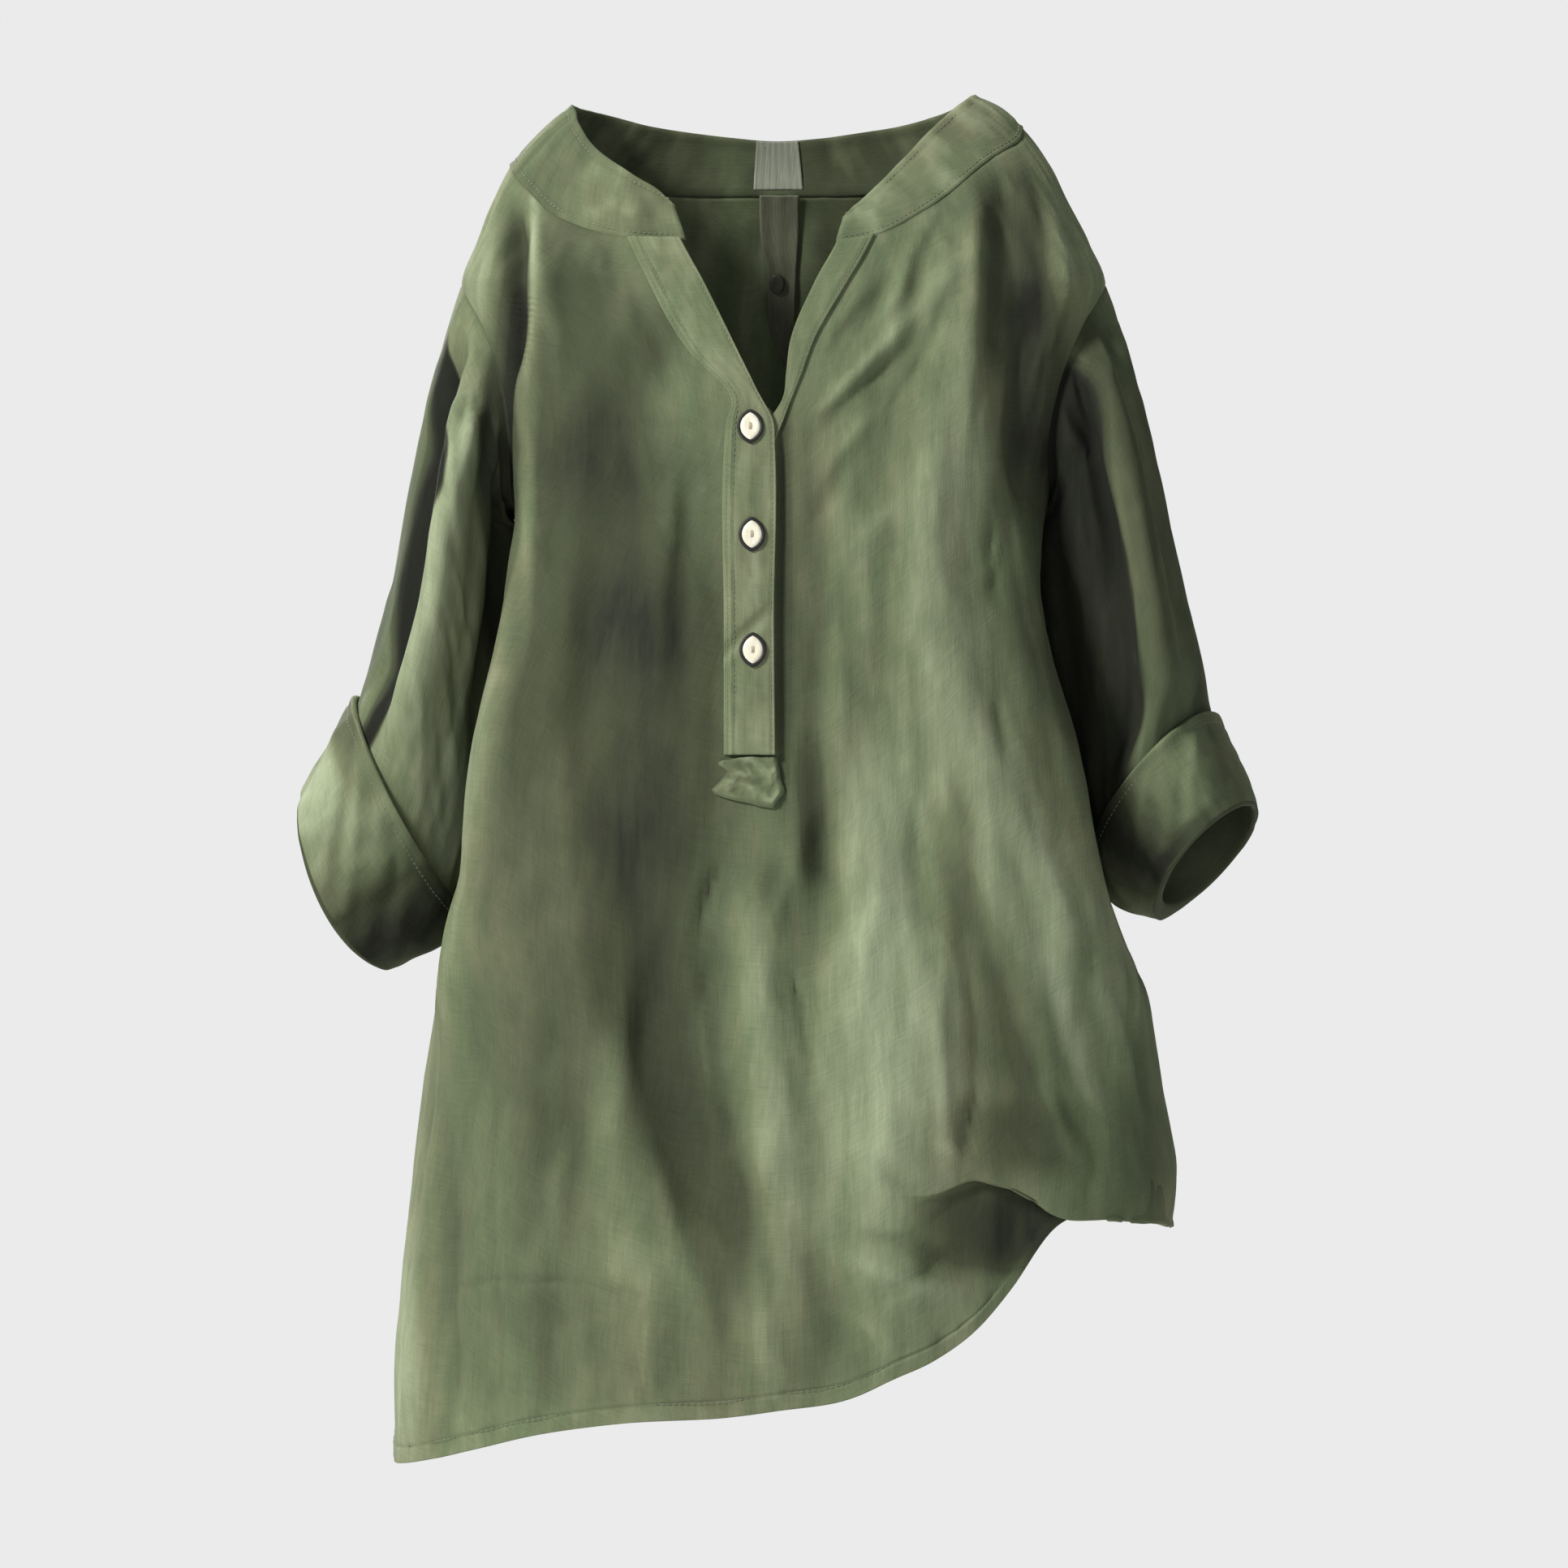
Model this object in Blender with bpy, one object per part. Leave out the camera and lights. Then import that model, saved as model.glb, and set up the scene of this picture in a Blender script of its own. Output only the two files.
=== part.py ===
"""Tunic with a low stand band and a half placket, filled out with no wearer, in metres and +Z up.

The wearer's left and right aren't used: left is -X and right is +X as seen from the front, which faces -Y.
Angles round the body start at the left side and run over the front: 0 left, 90 front, 180 right, 270 back.
All sizes in the tables below are millimetres and degrees.
"""

import math

import bpy
import numpy as np

MM = 0.001

# Cloth and seams
CLOTH = 1.5
BAND_CLOTH = 2.2
PLACKET_CLOTH = 2.0
TAPE_CLOTH = 0.8
CUFF_CLOTH = 3.6
PLACKET_END_CLOTH = 3.4
PLACKET_LIFT = 2.1
SEAM_GAP = 0.3
CUFF_GAP = 0.5
TAPE_GAP = 0.4
TAIL_GAP = 0.5
ARMHOLE_INSET = 0.982

# Levels shared by every column of the body
SHOULDER_POINT_Z = -105.0
SLIT_FOOT_Z = -187.0
UNDERARM_Z = -240.0
NECK_FRONT_Z = -84.0

# Sections of the body: level, half width left and right, depth front and back, squareness
BODY_SECTIONS = (
    (-773, 216.0, 225.0, 144, 134, 2.8),
    (-700, 213.0, 226.0, 142, 132, 2.8),
    (-636, 207.0, 226.0, 139, 129, 2.8),
    (-613, 203.8, 227.5, 138, 128, 2.8),
    (-557, 197.0, 218.5, 134, 124, 2.8),
    (-532, 195.5, 216.0, 132, 122, 2.8),
    (-502, 196.5, 213.5, 130, 120, 2.8),
    (-470, 190.0, 201.0, 127, 117, 2.9),
    (-440, 180.0, 189.0, 124, 115, 2.9),
    (-406, 171.0, 178.0, 121, 112, 3.0),
    (-360, 163.3, 168.5, 117, 109, 3.0),
    (-314, 156.8, 160.5, 114, 106, 3.0),
    (-276, 152.5, 156.0, 110, 102, 3.0),
    (-240, 150.5, 153.5, 106, 99, 3.0),
    (-203, 154.0, 158.5, 101, 95, 2.9),
    (-165, 162.5, 169.5, 94, 90, 2.7),
    (-130, 172.5, 181.0, 86, 84, 2.5),
    (-105, 177.5, 187.0, 79, 77, 2.4),
    (-84, 169.5, 178.0, 72, 70, 2.3),
    (-60, 160.0, 165.5, 60, 58, 2.2),
    (-38, 149.0, 155.0, 44, 42, 2.1),
    (-17, 134.0, 139.0, 25, 25, 2.0),
    (0, 118.0, 118.0, 12, 12, 2.0),
)

# Neck seam: angle, level
NECK_SEAM = (
    (-20, -41.0), (0, -38.0), (30, -54.0), (44, -69.5), (60, -81.5), (73, -83.5), (90, -84.5),
    (101, -84.6), (108, -81.0), (118, -67.6), (137, -40.0), (160, -25.0), (180, -17.0), (210, -30.0),
    (230, -44.0), (250, -53.0), (270, -54.0), (290, -54.0), (310, -50.0), (330, -44.0),
    (360, -38.0), (390, -54.0),
)

# Hem and the tuck above it: angle, top and bottom of the tuck, its rise, its depth, hem level
HEM_AND_TUCK = (
    (-22, -600.0, -680.0, 0.0, 0.0, -765),
    (0, -600.0, -680.0, 0.0, 0.0, -768),
    (22, -600.0, -680.0, 0.0, 0.0, -772),
    (40, -600.0, -680.0, 0.0, 0.0, -768),
    (59, -600.0, -675.0, 0.0, 0.0, -755),
    (69, -600.0, -670.0, 0.0, 0.0, -751),
    (83, -600.0, -662.0, 0.0, 0.0, -748),
    (90, -602.0, -658.0, 0.0, 0.0, -744),
    (101, -604.0, -650.0, 0.0, 0.0, -737),
    (107, -606.0, -644.0, 1.0, 1.5, -725),
    (111, -606.0, -636.0, 3.5, 3.5, -719),
    (117.6, -601.3, -621.0, 7.0, 6.5, -701),
    (123.3, -605.4, -622.4, 12.5, 9.0, -676),
    (129.4, -613.0, -627.0, 17.4, 10.0, -640),
    (139.2, -613.4, -625.4, 17.5, 10.0, -630),
    (151.8, -616.5, -628.5, 17.5, 10.0, -632),
    (180, -619.0, -631.0, 17.5, 10.0, -634),
    (200, -613.0, -627.0, 14.0, 9.0, -630),
    (225, -604.0, -624.0, 6.0, 5.0, -628),
    (237, -600.0, -632.0, 1.0, 1.5, -655),
    (243, -600.0, -640.0, 0.0, 0.0, -682),
    (250, -600.0, -648.0, 0.0, 0.0, -702),
    (258, -600.0, -652.0, 0.0, 0.0, -720),
    (270, -600.0, -656.0, 0.0, 0.0, -732),
    (290, -600.0, -664.0, 0.0, 0.0, -742),
    (320, -600.0, -674.0, 0.0, 0.0, -758),
    (338, -600.0, -680.0, 0.0, 0.0, -765),
    (360, -600.0, -680.0, 0.0, 0.0, -768),
    (382, -600.0, -680.0, 0.0, 0.0, -772),
)

# Roundness of the side seam in plan, which turns the seam's gap into an angle
SIDE_RADIUS = 90.0

# Armhole: level, half angle of the opening
ARMHOLE = (
    (-240, 0.0), (-236, 8.0), (-225, 16.0), (-205, 23.0), (-175, 27.0), (-146, 25.0),
    (-122, 18.0), (-110, 9.0), (-105, 0.0),
)

# Large folds: side (1 front, -1 back), x and level at the top, x and level at the foot, width, height
BODY_FOLDS = (
    (1, -88, -120, -100, -330, 16, -3.5),
    (1, -62, -140, -72, -330, 10, 2.5),
    (1, 118, -130, 122, -400, 20, -7.0),
    (1, 76, -250, 178, -600, 20, 7.0),
    (1, 26, -392, 22, -500, 13, -7.0),
    (1, 92, -390, 66, -680, 24, 6.0),
    (1, 102, -420, 128, -590, 17, -9.0),
    (1, -110, -420, -30, -650, 19, -8.0),
    (1, -8, -440, 4, -640, 17, 4.5),
    (1, -150, -300, -128, -700, 20, 4.0),
    (1, -60, -600, -70, -770, 16, 3.5),
    (1, 60, -620, 30, -740, 22, -5.0),
    (-1, 0, -170, 6, -720, 26, -9.0),
    (-1, -82, -200, -108, -740, 24, 7.0),
    (-1, 84, -190, 112, -640, 24, 7.0),
    (-1, -46, -330, -56, -745, 16, -5.0),
    (-1, 48, -300, 60, -700, 16, -5.0),
    (-1, 140, -260, 170, -600, 20, -6.0),
    (-1, -138, -260, -164, -740, 20, -6.0),
)
FOLD_FADE = 110.0

# The arms press the sides in, which lifts the corners beside them: level, depth of the dent, lift of the corners
SIDE_DENT = (
    (-580, 0.0, 0.0), (-555, 0.0, 0.0), (-505, 8.0, 5.0), (-456, 30.0, 14.0), (-405, 34.0, 18.0), (-350, 33.0, 18.0),
    (-300, 26.0, 12.5), (-262, 13.0, 6.0), (-235, 4.0, 2.2), (-205, 0.0, 0.0), (-180, 0.0, 0.0),
)
DENT_WIDTH = 0.56
CORNER_FACING = 0.56
CORNER_WIDTH = 0.2

# Front opening: level, x of the free edge of the upper strip and of the edge of the lower strip
OPENING = (
    (-187, -1.0, 2.0), (-176, -5.5, 4.0), (-165, -10.0, 5.5), (-148, -18.0, 7.5), (-134, -24.5, 10.0),
    (-105, -39.0, 24.0), (-84, -50.0, 34.0),
)
CLOTH_SHORT_OF_STRIP = 3.0
SLIT_FOOT_X = 0.5

# Upper placket strip: level, x of the stitched edge, x of the free edge, height over the cloth
PLACKET_OVER = (
    (-374, -28.6, 0.0, PLACKET_LIFT),
    (-300, -28.6, -0.6, PLACKET_LIFT),
    (-203, -28.5, 0.0, PLACKET_LIFT),
    (-187, -27.2, -1.0, PLACKET_LIFT),
    (-176, -24.5, -5.0, PLACKET_LIFT),
    (-148, -48.3, -18.0, 0.8),
    (-97.5, -76.0, -42.8, 0.7),
    (-82, -83.0, -50.6, 0.7),
)
# Lower placket strip, which runs under the upper one: level, x of the left and right edge
PLACKET_UNDER = (
    (-372, -24.0, -2.0),
    (-300, -24.0, -2.0),
    (-235, -24.0, -2.0),
    (-212, -23.0, -1.6),
    (-197, -14.5, 0.5),
    (-187, -4.0, 4.5),
    (-176, 3.6, 8.5),
    (-160, 6.2, 15.0),
    (-143.5, 8.2, 21.0),
    (-107, 23.0, 41.4),
    (-82, 35.0, 55.5),
)
# Tab over the foot of the placket: left and right x, top and bottom level
PLACKET_END = (-35.0, 4.6, -374.6, -402.0)
PLACKET_END_WAVE = (0.0, 0.8, -0.5, 0.9, 0.0)

# Neck band: angle along it, then x, y and level of its top edge
BAND_TOP = (
    (73, -58, -61, -60),
    (60, -78, -52, -46),
    (44, -97, -36, -31),
    (30, -107, -22, -17),
    (12, -113.5, -8, -8),
    (0, -115, 0, -5.5),
    (-20, -110, 14, -6.5),
    (-40, -94, 30, -9.7),
    (-55, -71, 42, -15),
    (-68, -48, 48, -18.4),
    (-79, -25, 51, -21),
    (-90, 0, 52, -23),
    (-101, 25, 51, -21.5),
    (-112, 48, 48, -18.4),
    (-125, 71, 42, -15),
    (-140, 94, 30, -9),
    (-160, 109, 14, -2),
    (-180, 113, 0, 0),
    (-200, 108, -9, -2.5),
    (-223, 90, -19, -18),
    (-242, 62, -40, -48),
    (-252, 47, -52, -63),
    (-259, 39, -60, -68),
)
BAND_BULGE = 2.0

# Sleeve rings: outer x and level, inner x and level, y of the middle, half depth, how far the front leads, and how
# much narrower the ring is on the side of the body
SLEEVE_RINGS = {
    -1: (
        (-200.0, -185, -147.5, -262, -4, 60, 0, 0.2),
        (-219.5, -281, -155, -350, -2, 60, 0, 0.4),
        (-228.5, -318, -165.5, -405, -3, 56, 4, 0.4),
        (-235.0, -342, -180, -456, -5, 45, 8, 0.3),
        (-257.0, -389, -222, -487, -8, 45, 21, 0.1),
    ),
    1: (
        (209.0, -185, 150.5, -266, -4, 60, 0, 0.2),
        (232.0, -281, 159.5, -348, -2, 60, 0, 0.4),
        (241.5, -318, 171, -398, -3, 55, -6, 0.4),
        (247.0, -352, 186, -436, -8, 46, -18, 0.3),
        (268.0, -402, 220, -456, -14, 46, -13, 0.1),
    ),
}
SLEEVE_START = 95.0
CUFF_FOOT_ROLL = 1.8
CUFF_TOP_ROLL = 1.2
CUFF_BULGE = (0.4, 1.1, 1.4, 1.0, 0.0)
RING_AT = (0.0, 0.33, 0.6, 0.72, 0.82, 1.0)
SLEEVE_ROWS = (0, 0.05, 0.11, 0.18, 0.26, 0.34, 0.42, 0.5, 0.58, 0.65, 0.71, 0.765, 0.82, 0.865, 0.91, 0.96, 1.0)
CUFF_FIRST_ROW = 12
SLEEVE_LAST_ROW = 13

# Sleeve folds: angle round the sleeve from its outer line over the front, rows between, width, height
SLEEVE_FOLDS = {
    -1: (
        (38, 0.05, 0.8, 17, -13.0),
        (78, 0.10, 0.8, 22, 6.0),
        (128, 0.05, 0.70, 20, -8.0),
        (212, 0.10, 0.80, 24, -8.0),
        (262, 0.10, 0.80, 26, 6.0),
        (318, 0.08, 0.8, 20, -9.0),
    ),
    1: (
        (40, 0.06, 0.8, 20, 6.0),
        (82, 0.05, 0.8, 24, -11.0),
        (130, 0.15, 0.80, 20, 5.0),
        (214, 0.10, 0.80, 24, -8.0),
        (264, 0.10, 0.80, 26, 6.0),
        (318, 0.08, 0.8, 20, -9.0),
    ),
}

# Rows of the body between its levels, and columns of each panel
BODY_ROWS = (
    (0.0, 0.25, 0.5, 0.75),
    (0.0, 0.1, 0.26, 0.46, 0.7),
    (0.0, 0.35, 0.65, 0.88),
    tuple(np.linspace(0, 1, 12)[:-1]),
    tuple(np.linspace(0, 1, 13)[:-1]),
    (0.0, 0.2, 0.4, 0.6, 0.8, 1.0),
)
FRONT_LEFT_COLUMNS = 12
FRONT_RIGHT_COLUMNS = 14
BACK_COLUMNS = 24

# Fastenings
BUTTON_PLACES = ((-13.8, -191.0), (-12.9, -251.2), (-12.4, -315.6))
BUTTON_RIM = (7.2, 8.9)
BUTTON_FACE = (5.5, 6.8)
BUTTON_HEIGHT = 2.4

# Tape inside the back neck: the angles of its two edges, then level, left and right x of its tail
TAPE_ANGLES = (-85.4, -95.7)
TAIL = ((-150, 4.5, 8.5), (-144, 2.5, 9.5), (-125, -3.7, 11.0), (-97, -4.6, 12.0), (-74, -8.7, 13.6), (-52, -9.0, 13.8))
SPARE_BUTTON = (1.0, -102.6, 4.4, 6.0, 1.5)

GREEN_CLOTH = (0.185, 0.215, 0.125)
PALE_TAPE = (0.27, 0.29, 0.22)
DARK_TAPE = (0.075, 0.078, 0.06)
SHELL_WHITE = (0.86, 0.85, 0.77)
NEAR_BLACK = (0.012, 0.012, 0.011)


def clear_scene():
    for thing in list(bpy.data.objects):
        bpy.data.objects.remove(thing, do_unlink=True)


def through(at, table, column):
    """Smooth curve through one column of a table whose first column rises or falls steadily."""
    rows = np.array(sorted(table), float)
    xs, ys = rows[:, 0], rows[:, column]
    slopes = np.gradient(ys, xs)
    at = np.clip(np.asarray(at, float), xs[0], xs[-1])
    i = np.clip(np.searchsorted(xs, at, side="right") - 1, 0, len(xs) - 2)
    step = xs[i + 1] - xs[i]
    u = (at - xs[i]) / step
    return (
        (1 + 2 * u) * (1 - u) ** 2 * ys[i]
        + u * (1 - u) ** 2 * step * slopes[i]
        + u**2 * (3 - 2 * u) * ys[i + 1]
        + u**2 * (u - 1) * step * slopes[i + 1]
    )


def ease(u):
    u = np.clip(u, 0, 1)
    return u * u * (3 - 2 * u)


def blend(a, b, share):
    return a + (b - a) * share


def unit(vectors):
    return vectors / np.maximum(np.linalg.norm(vectors, axis=-1, keepdims=True), 1e-9)


def half_width(level, left):
    return np.where(left, through(level, BODY_SECTIONS, 1), through(level, BODY_SECTIONS, 2))


def section(angle, level):
    """Plain outline of the body at a level: x, y and the outward direction in plan."""
    c, s = np.cos(np.radians(angle)), np.sin(np.radians(angle))
    half = half_width(level, c > 0)
    deep = np.where(s > 0, through(level, BODY_SECTIONS, 3), through(level, BODY_SECTIONS, 4))
    n = through(level, BODY_SECTIONS, 5)
    size = (np.abs(c) ** n + np.abs(s) ** n) ** (-1 / n)
    out_x = -np.sign(c) * np.abs(c) ** (n - 1) / half
    out_y = -np.sign(s) * np.abs(s) ** (n - 1) / deep
    norm = np.hypot(out_x, out_y)
    return -half * c * size, -deep * s * size, out_x / norm, out_y / norm


def fold_height(x, level, angle):
    """How far the large folds lift the cloth off its plain outline."""
    lift = np.zeros_like(np.asarray(x, float))
    facing = np.sin(np.radians(angle))
    for side, x_top, z_top, x_foot, z_foot, width, height in BODY_FOLDS:
        share = np.clip((z_top - level) / (z_top - z_foot), 0, 1)
        middle = blend(x_top, x_foot, share)
        along = ease((z_top - level) / FOLD_FADE) * ease((level - z_foot) / FOLD_FADE + 0.4)
        lift = lift + height * along * ease(side * facing * 2.5) * np.exp(-(((x - middle) / width) ** 2))
    dent, corner = (np.maximum(through(level, SIDE_DENT, i), 0) for i in (1, 2))
    lift = lift - dent * np.exp(-2 * (facing / DENT_WIDTH) ** 2)
    return lift + corner * np.exp(-(((np.abs(facing) - CORNER_FACING) / CORNER_WIDTH) ** 2))


def keep_placket_flat(x, level, angle):
    """Share of the folds left at a place: none under the plackets."""
    over = (through(level, PLACKET_OVER, 1) + through(level, PLACKET_OVER, 2)) / 2
    under = (through(level, PLACKET_UNDER, 1) + through(level, PLACKET_UNDER, 2)) / 2
    off_over = ease((np.abs(x - over) - 20) / 14)
    off_under = ease((np.abs(x - under) - 13) / 14)
    below = ease((PLACKET_END[3] - 22 - level) / 26)
    behind = ease(-np.sin(np.radians(angle)) * 4)
    return np.maximum(np.maximum(off_over * off_under, below), behind)


def skin(angle, level):
    x, y, out_x, out_y = section(angle, level)
    lift = fold_height(x, level, angle) * keep_placket_flat(x, level, angle)
    return np.stack([x + out_x * lift, y + out_y * lift, np.broadcast_to(level, x.shape)], axis=-1)


def body_point(angle, row):
    """Point of the cloth's outer face: the row runs 0 neck, 1 shoulder point, 2 slit foot, 3 underarm, 4, 5 tuck, 6 hem."""
    angle, row = np.broadcast_arrays(np.asarray(angle, float), np.asarray(row, float))
    around = np.mod(angle, 360)
    ones = np.ones_like(around)
    levels = np.stack(
        [
            through(around, NECK_SEAM, 1),
            SHOULDER_POINT_Z * ones,
            SLIT_FOOT_Z * ones,
            UNDERARM_Z * ones,
            through(around, HEM_AND_TUCK, 1),
            through(around, HEM_AND_TUCK, 2),
            through(around, HEM_AND_TUCK, 5),
        ]
    )
    part = np.clip(np.floor(row), 0, 5).astype(int)
    share = row - part
    start = np.take_along_axis(levels, part[None], 0)[0]
    stop = np.take_along_axis(levels, part[None] + 1, 0)[0]
    rise, depth = through(around, HEM_AND_TUCK, 3), through(around, HEM_AND_TUCK, 4)
    turn = np.where(part == 4, np.sin(2 * math.pi * share), 0)
    inward = depth * np.where(part == 4, ease(share), np.where(part == 5, 1.0, 0.0))
    level = blend(start, stop, share) - rise * turn
    point = skin(angle, level)
    _, _, out_x, out_y = section(angle, level)
    point[..., 0] -= out_x * inward
    point[..., 1] -= out_y * inward
    return point


def body_normal(angle, row):
    """Outward direction of the cloth, the same for every piece that meets there."""
    row = np.asarray(row, float)
    a, b = np.clip(row - 0.02, 0, 6), np.clip(row + 0.02, 0, 6)
    down = body_point(angle, b) - body_point(angle, a)
    across = body_point(angle + 0.4, row) - body_point(angle - 0.4, row)
    return unit(np.cross(down, across))


def angle_of(x, level, back=False):
    """Angle at which the plain outline has this x, on the front or on the back."""
    x, level = np.broadcast_arrays(np.asarray(x, float), np.asarray(level, float))
    half = half_width(level, x < 0)
    n = through(level, BODY_SECTIONS, 5)
    share = np.clip(-x / half, -0.999, 0.999)
    rest = (1 - np.abs(share) ** n) ** (1 / n)
    found = np.degrees(np.arctan2(rest, share))
    return -found if back else found


def skin_normal(angle, level):
    down = skin(angle, level - 1.0) - skin(angle, level + 1.0)
    across = skin(angle + 0.4, level) - skin(angle - 0.4, level)
    return unit(np.cross(down, across))


def grid_faces(rows, columns, closed=False):
    faces = []
    for i in range(rows - 1):
        for j in range(columns if closed else columns - 1):
            k = (j + 1) % columns
            faces.append((i * columns + j, i * columns + k, (i + 1) * columns + k, (i + 1) * columns + j))
    return faces


def shell(points, faces, inward, thickness):
    """Closed wall: the given face of the cloth, the other face moved inward, and a rim on every open edge."""
    count = len(points)
    used = {}
    for face in faces:
        for a, b in zip(face, face[1:] + face[:1]):
            used[(a, b)] = used.get((a, b), 0) + 1
    both = [tuple(face) for face in faces]
    both += [tuple(count + v for v in reversed(face)) for face in faces]
    both += [(b, a, count + a, count + b) for a, b in used if (b, a) not in used]
    return np.concatenate([points, points + inward * thickness]), both


def volume_of(points, faces):
    total = 0.0
    for face in faces:
        for a, b in zip(face[1:-1], face[2:]):
            total += np.dot(points[face[0]], np.cross(points[a], points[b]))
    return total / 6


def add_piece(name, points, faces, material):
    """Object from points in millimetres, its faces turned to point out."""
    if volume_of(points, faces) < 0:
        faces = [tuple(reversed(face)) for face in faces]
    mesh = bpy.data.meshes.new(name)
    mesh.from_pydata((points * MM).tolist(), [], faces)
    mesh.validate()
    mesh.materials.append(material)
    mesh.shade_smooth()
    mesh.set_sharp_from_angle(angle=math.radians(50))
    piece = bpy.data.objects.new(name, mesh)
    bpy.data.collections["tunic"].objects.link(piece)
    return piece


def make_material(name, colour, roughness):
    material = bpy.data.materials.new(name)
    material.use_nodes = True
    surface = material.node_tree.nodes["Principled BSDF"]
    surface.inputs["Base Color"].default_value = (*colour, 1)
    surface.inputs["Roughness"].default_value = roughness
    surface.inputs["Metallic"].default_value = 0.0
    return material


def body_rows():
    return np.array([part + share for part, shares in enumerate(BODY_ROWS) for share in shares])


def armhole_angle(rows):
    """Half angle of the armhole at each row, with the seam's own half gap where there is no armhole."""
    level = np.where(rows < 2, blend(SHOULDER_POINT_Z, SLIT_FOOT_Z, rows - 1), blend(SLIT_FOOT_Z, UNDERARM_Z, rows - 2))
    opened = np.where((rows > 1) & (rows < 3), np.maximum(through(level, ARMHOLE, 1), 0), 0)
    return np.maximum(opened, math.degrees(SEAM_GAP / 2 / SIDE_RADIUS))


def slit_edges(rows):
    """Angles of the two cut edges of the front opening, equal from its foot down."""
    level = np.where(rows < 1, blend(NECK_FRONT_Z, SHOULDER_POINT_Z, rows), blend(SHOULDER_POINT_Z, SLIT_FOOT_Z, rows - 1))
    level = np.maximum(level, SLIT_FOOT_Z)
    share = ease((level - SLIT_FOOT_Z) / 12)
    left = through(level, OPENING, 1) - CLOTH_SHORT_OF_STRIP * share
    right = through(level, OPENING, 2) + CLOTH_SHORT_OF_STRIP * share
    left, right = blend(SLIT_FOOT_X, left, share), blend(SLIT_FOOT_X, right, share)
    return angle_of(left, level), angle_of(right, level)


def make_front(material):
    rows = body_rows()
    side = armhole_angle(rows)
    left_cut, right_cut = slit_edges(rows)
    share = np.linspace(0, 1, FRONT_LEFT_COLUMNS + 1)
    left = side[:, None] + (left_cut - side)[:, None] * share
    share = np.linspace(0, 1, FRONT_RIGHT_COLUMNS + 1)
    right = right_cut[:, None] + (180 - side - right_cut)[:, None] * share
    angles = np.concatenate([left.ravel(), right.ravel()])
    at = np.concatenate([np.repeat(rows, left.shape[1]), np.repeat(rows, right.shape[1])])
    split = left.size
    faces = grid_faces(*left.shape)
    joined = {
        split + i * right.shape[1]: i * left.shape[1] + left.shape[1] - 1
        for i in range(len(rows))
        if rows[i] >= 2
    }
    for face in grid_faces(*right.shape):
        faces.append(tuple(joined.get(split + v, split + v) for v in face))
    points, inward = body_point(angles, at), -body_normal(angles, at)
    kept = np.array([v not in joined for v in range(len(points))])
    place = np.cumsum(kept) - 1
    faces = [tuple(int(place[v]) for v in face) for face in faces]
    add_piece("front", *shell(points[kept], faces, inward[kept], CLOTH), material)


def make_back(material):
    rows = body_rows()
    side = armhole_angle(rows)
    share = np.linspace(0, 1, BACK_COLUMNS + 1)
    angles = (180 + side)[:, None] + (180 - 2 * side)[:, None] * share
    at = np.broadcast_to(rows[:, None], angles.shape)
    points, inward = body_point(angles, at), -body_normal(angles, at)
    faces = grid_faces(*angles.shape)
    add_piece("back", *shell(points.reshape(-1, 3), faces, inward.reshape(-1, 3), CLOTH), material)


def armhole_loop(side):
    """Points of the armhole, just inside the body's cut edge, from the shoulder point over the front, and the cloth's directions."""
    rows = body_rows()
    rows = rows[(rows >= 1) & (rows <= 3)]
    opened = armhole_angle(rows) * ARMHOLE_INSET
    opened[0] = opened[-1] = 0
    middle = 2.0
    rows = middle + (rows - middle) * ARMHOLE_INSET
    angle = np.concatenate([opened, -opened[-2:0:-1]])
    at = np.concatenate([rows, rows[-2:0:-1]])
    angle = 180 - angle if side > 0 else angle
    points, out = body_point(angle, at), body_normal(angle, at)
    halfway = (points + np.roll(points, -1, 0)) / 2
    out_half = unit(out + np.roll(out, -1, 0))
    return (
        np.stack([points, halfway], 1).reshape(-1, 3),
        np.stack([out, out_half], 1).reshape(-1, 3),
    )


def sleeve_angles(loop):
    """Angle round the sleeve of each column, from the length along the armhole."""
    steps = np.linalg.norm(np.roll(loop, -1, 0) - loop, axis=1)
    return np.concatenate([[0], np.cumsum(steps)[:-1]]) / steps.sum() * 2 * math.pi


def ring_points(ring, side, around):
    outer_x, outer_z, inner_x, inner_z, middle_y, half_deep, lead, egg = ring
    middle = np.array([(outer_x + inner_x) / 2, middle_y, (outer_z + inner_z) / 2])
    chord = np.array([outer_x - inner_x, 0, outer_z - inner_z])
    half = np.linalg.norm(chord) / 2
    chord = chord / np.linalg.norm(chord)
    along = side * np.array([chord[2], 0, -chord[0]])
    c, s = np.cos(around)[:, None], np.sin(around)[:, None]
    return middle + half * c * chord + s * (half_deep * (1 + egg * c) * np.array([0, -1, 0]) + lead * along)


def grid_normals(grid):
    """Directions off a grid whose columns close on themselves."""
    across = np.roll(grid, -1, 1) - np.roll(grid, 1, 1)
    along = np.gradient(grid, axis=0)
    return unit(np.cross(along, across))


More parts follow.
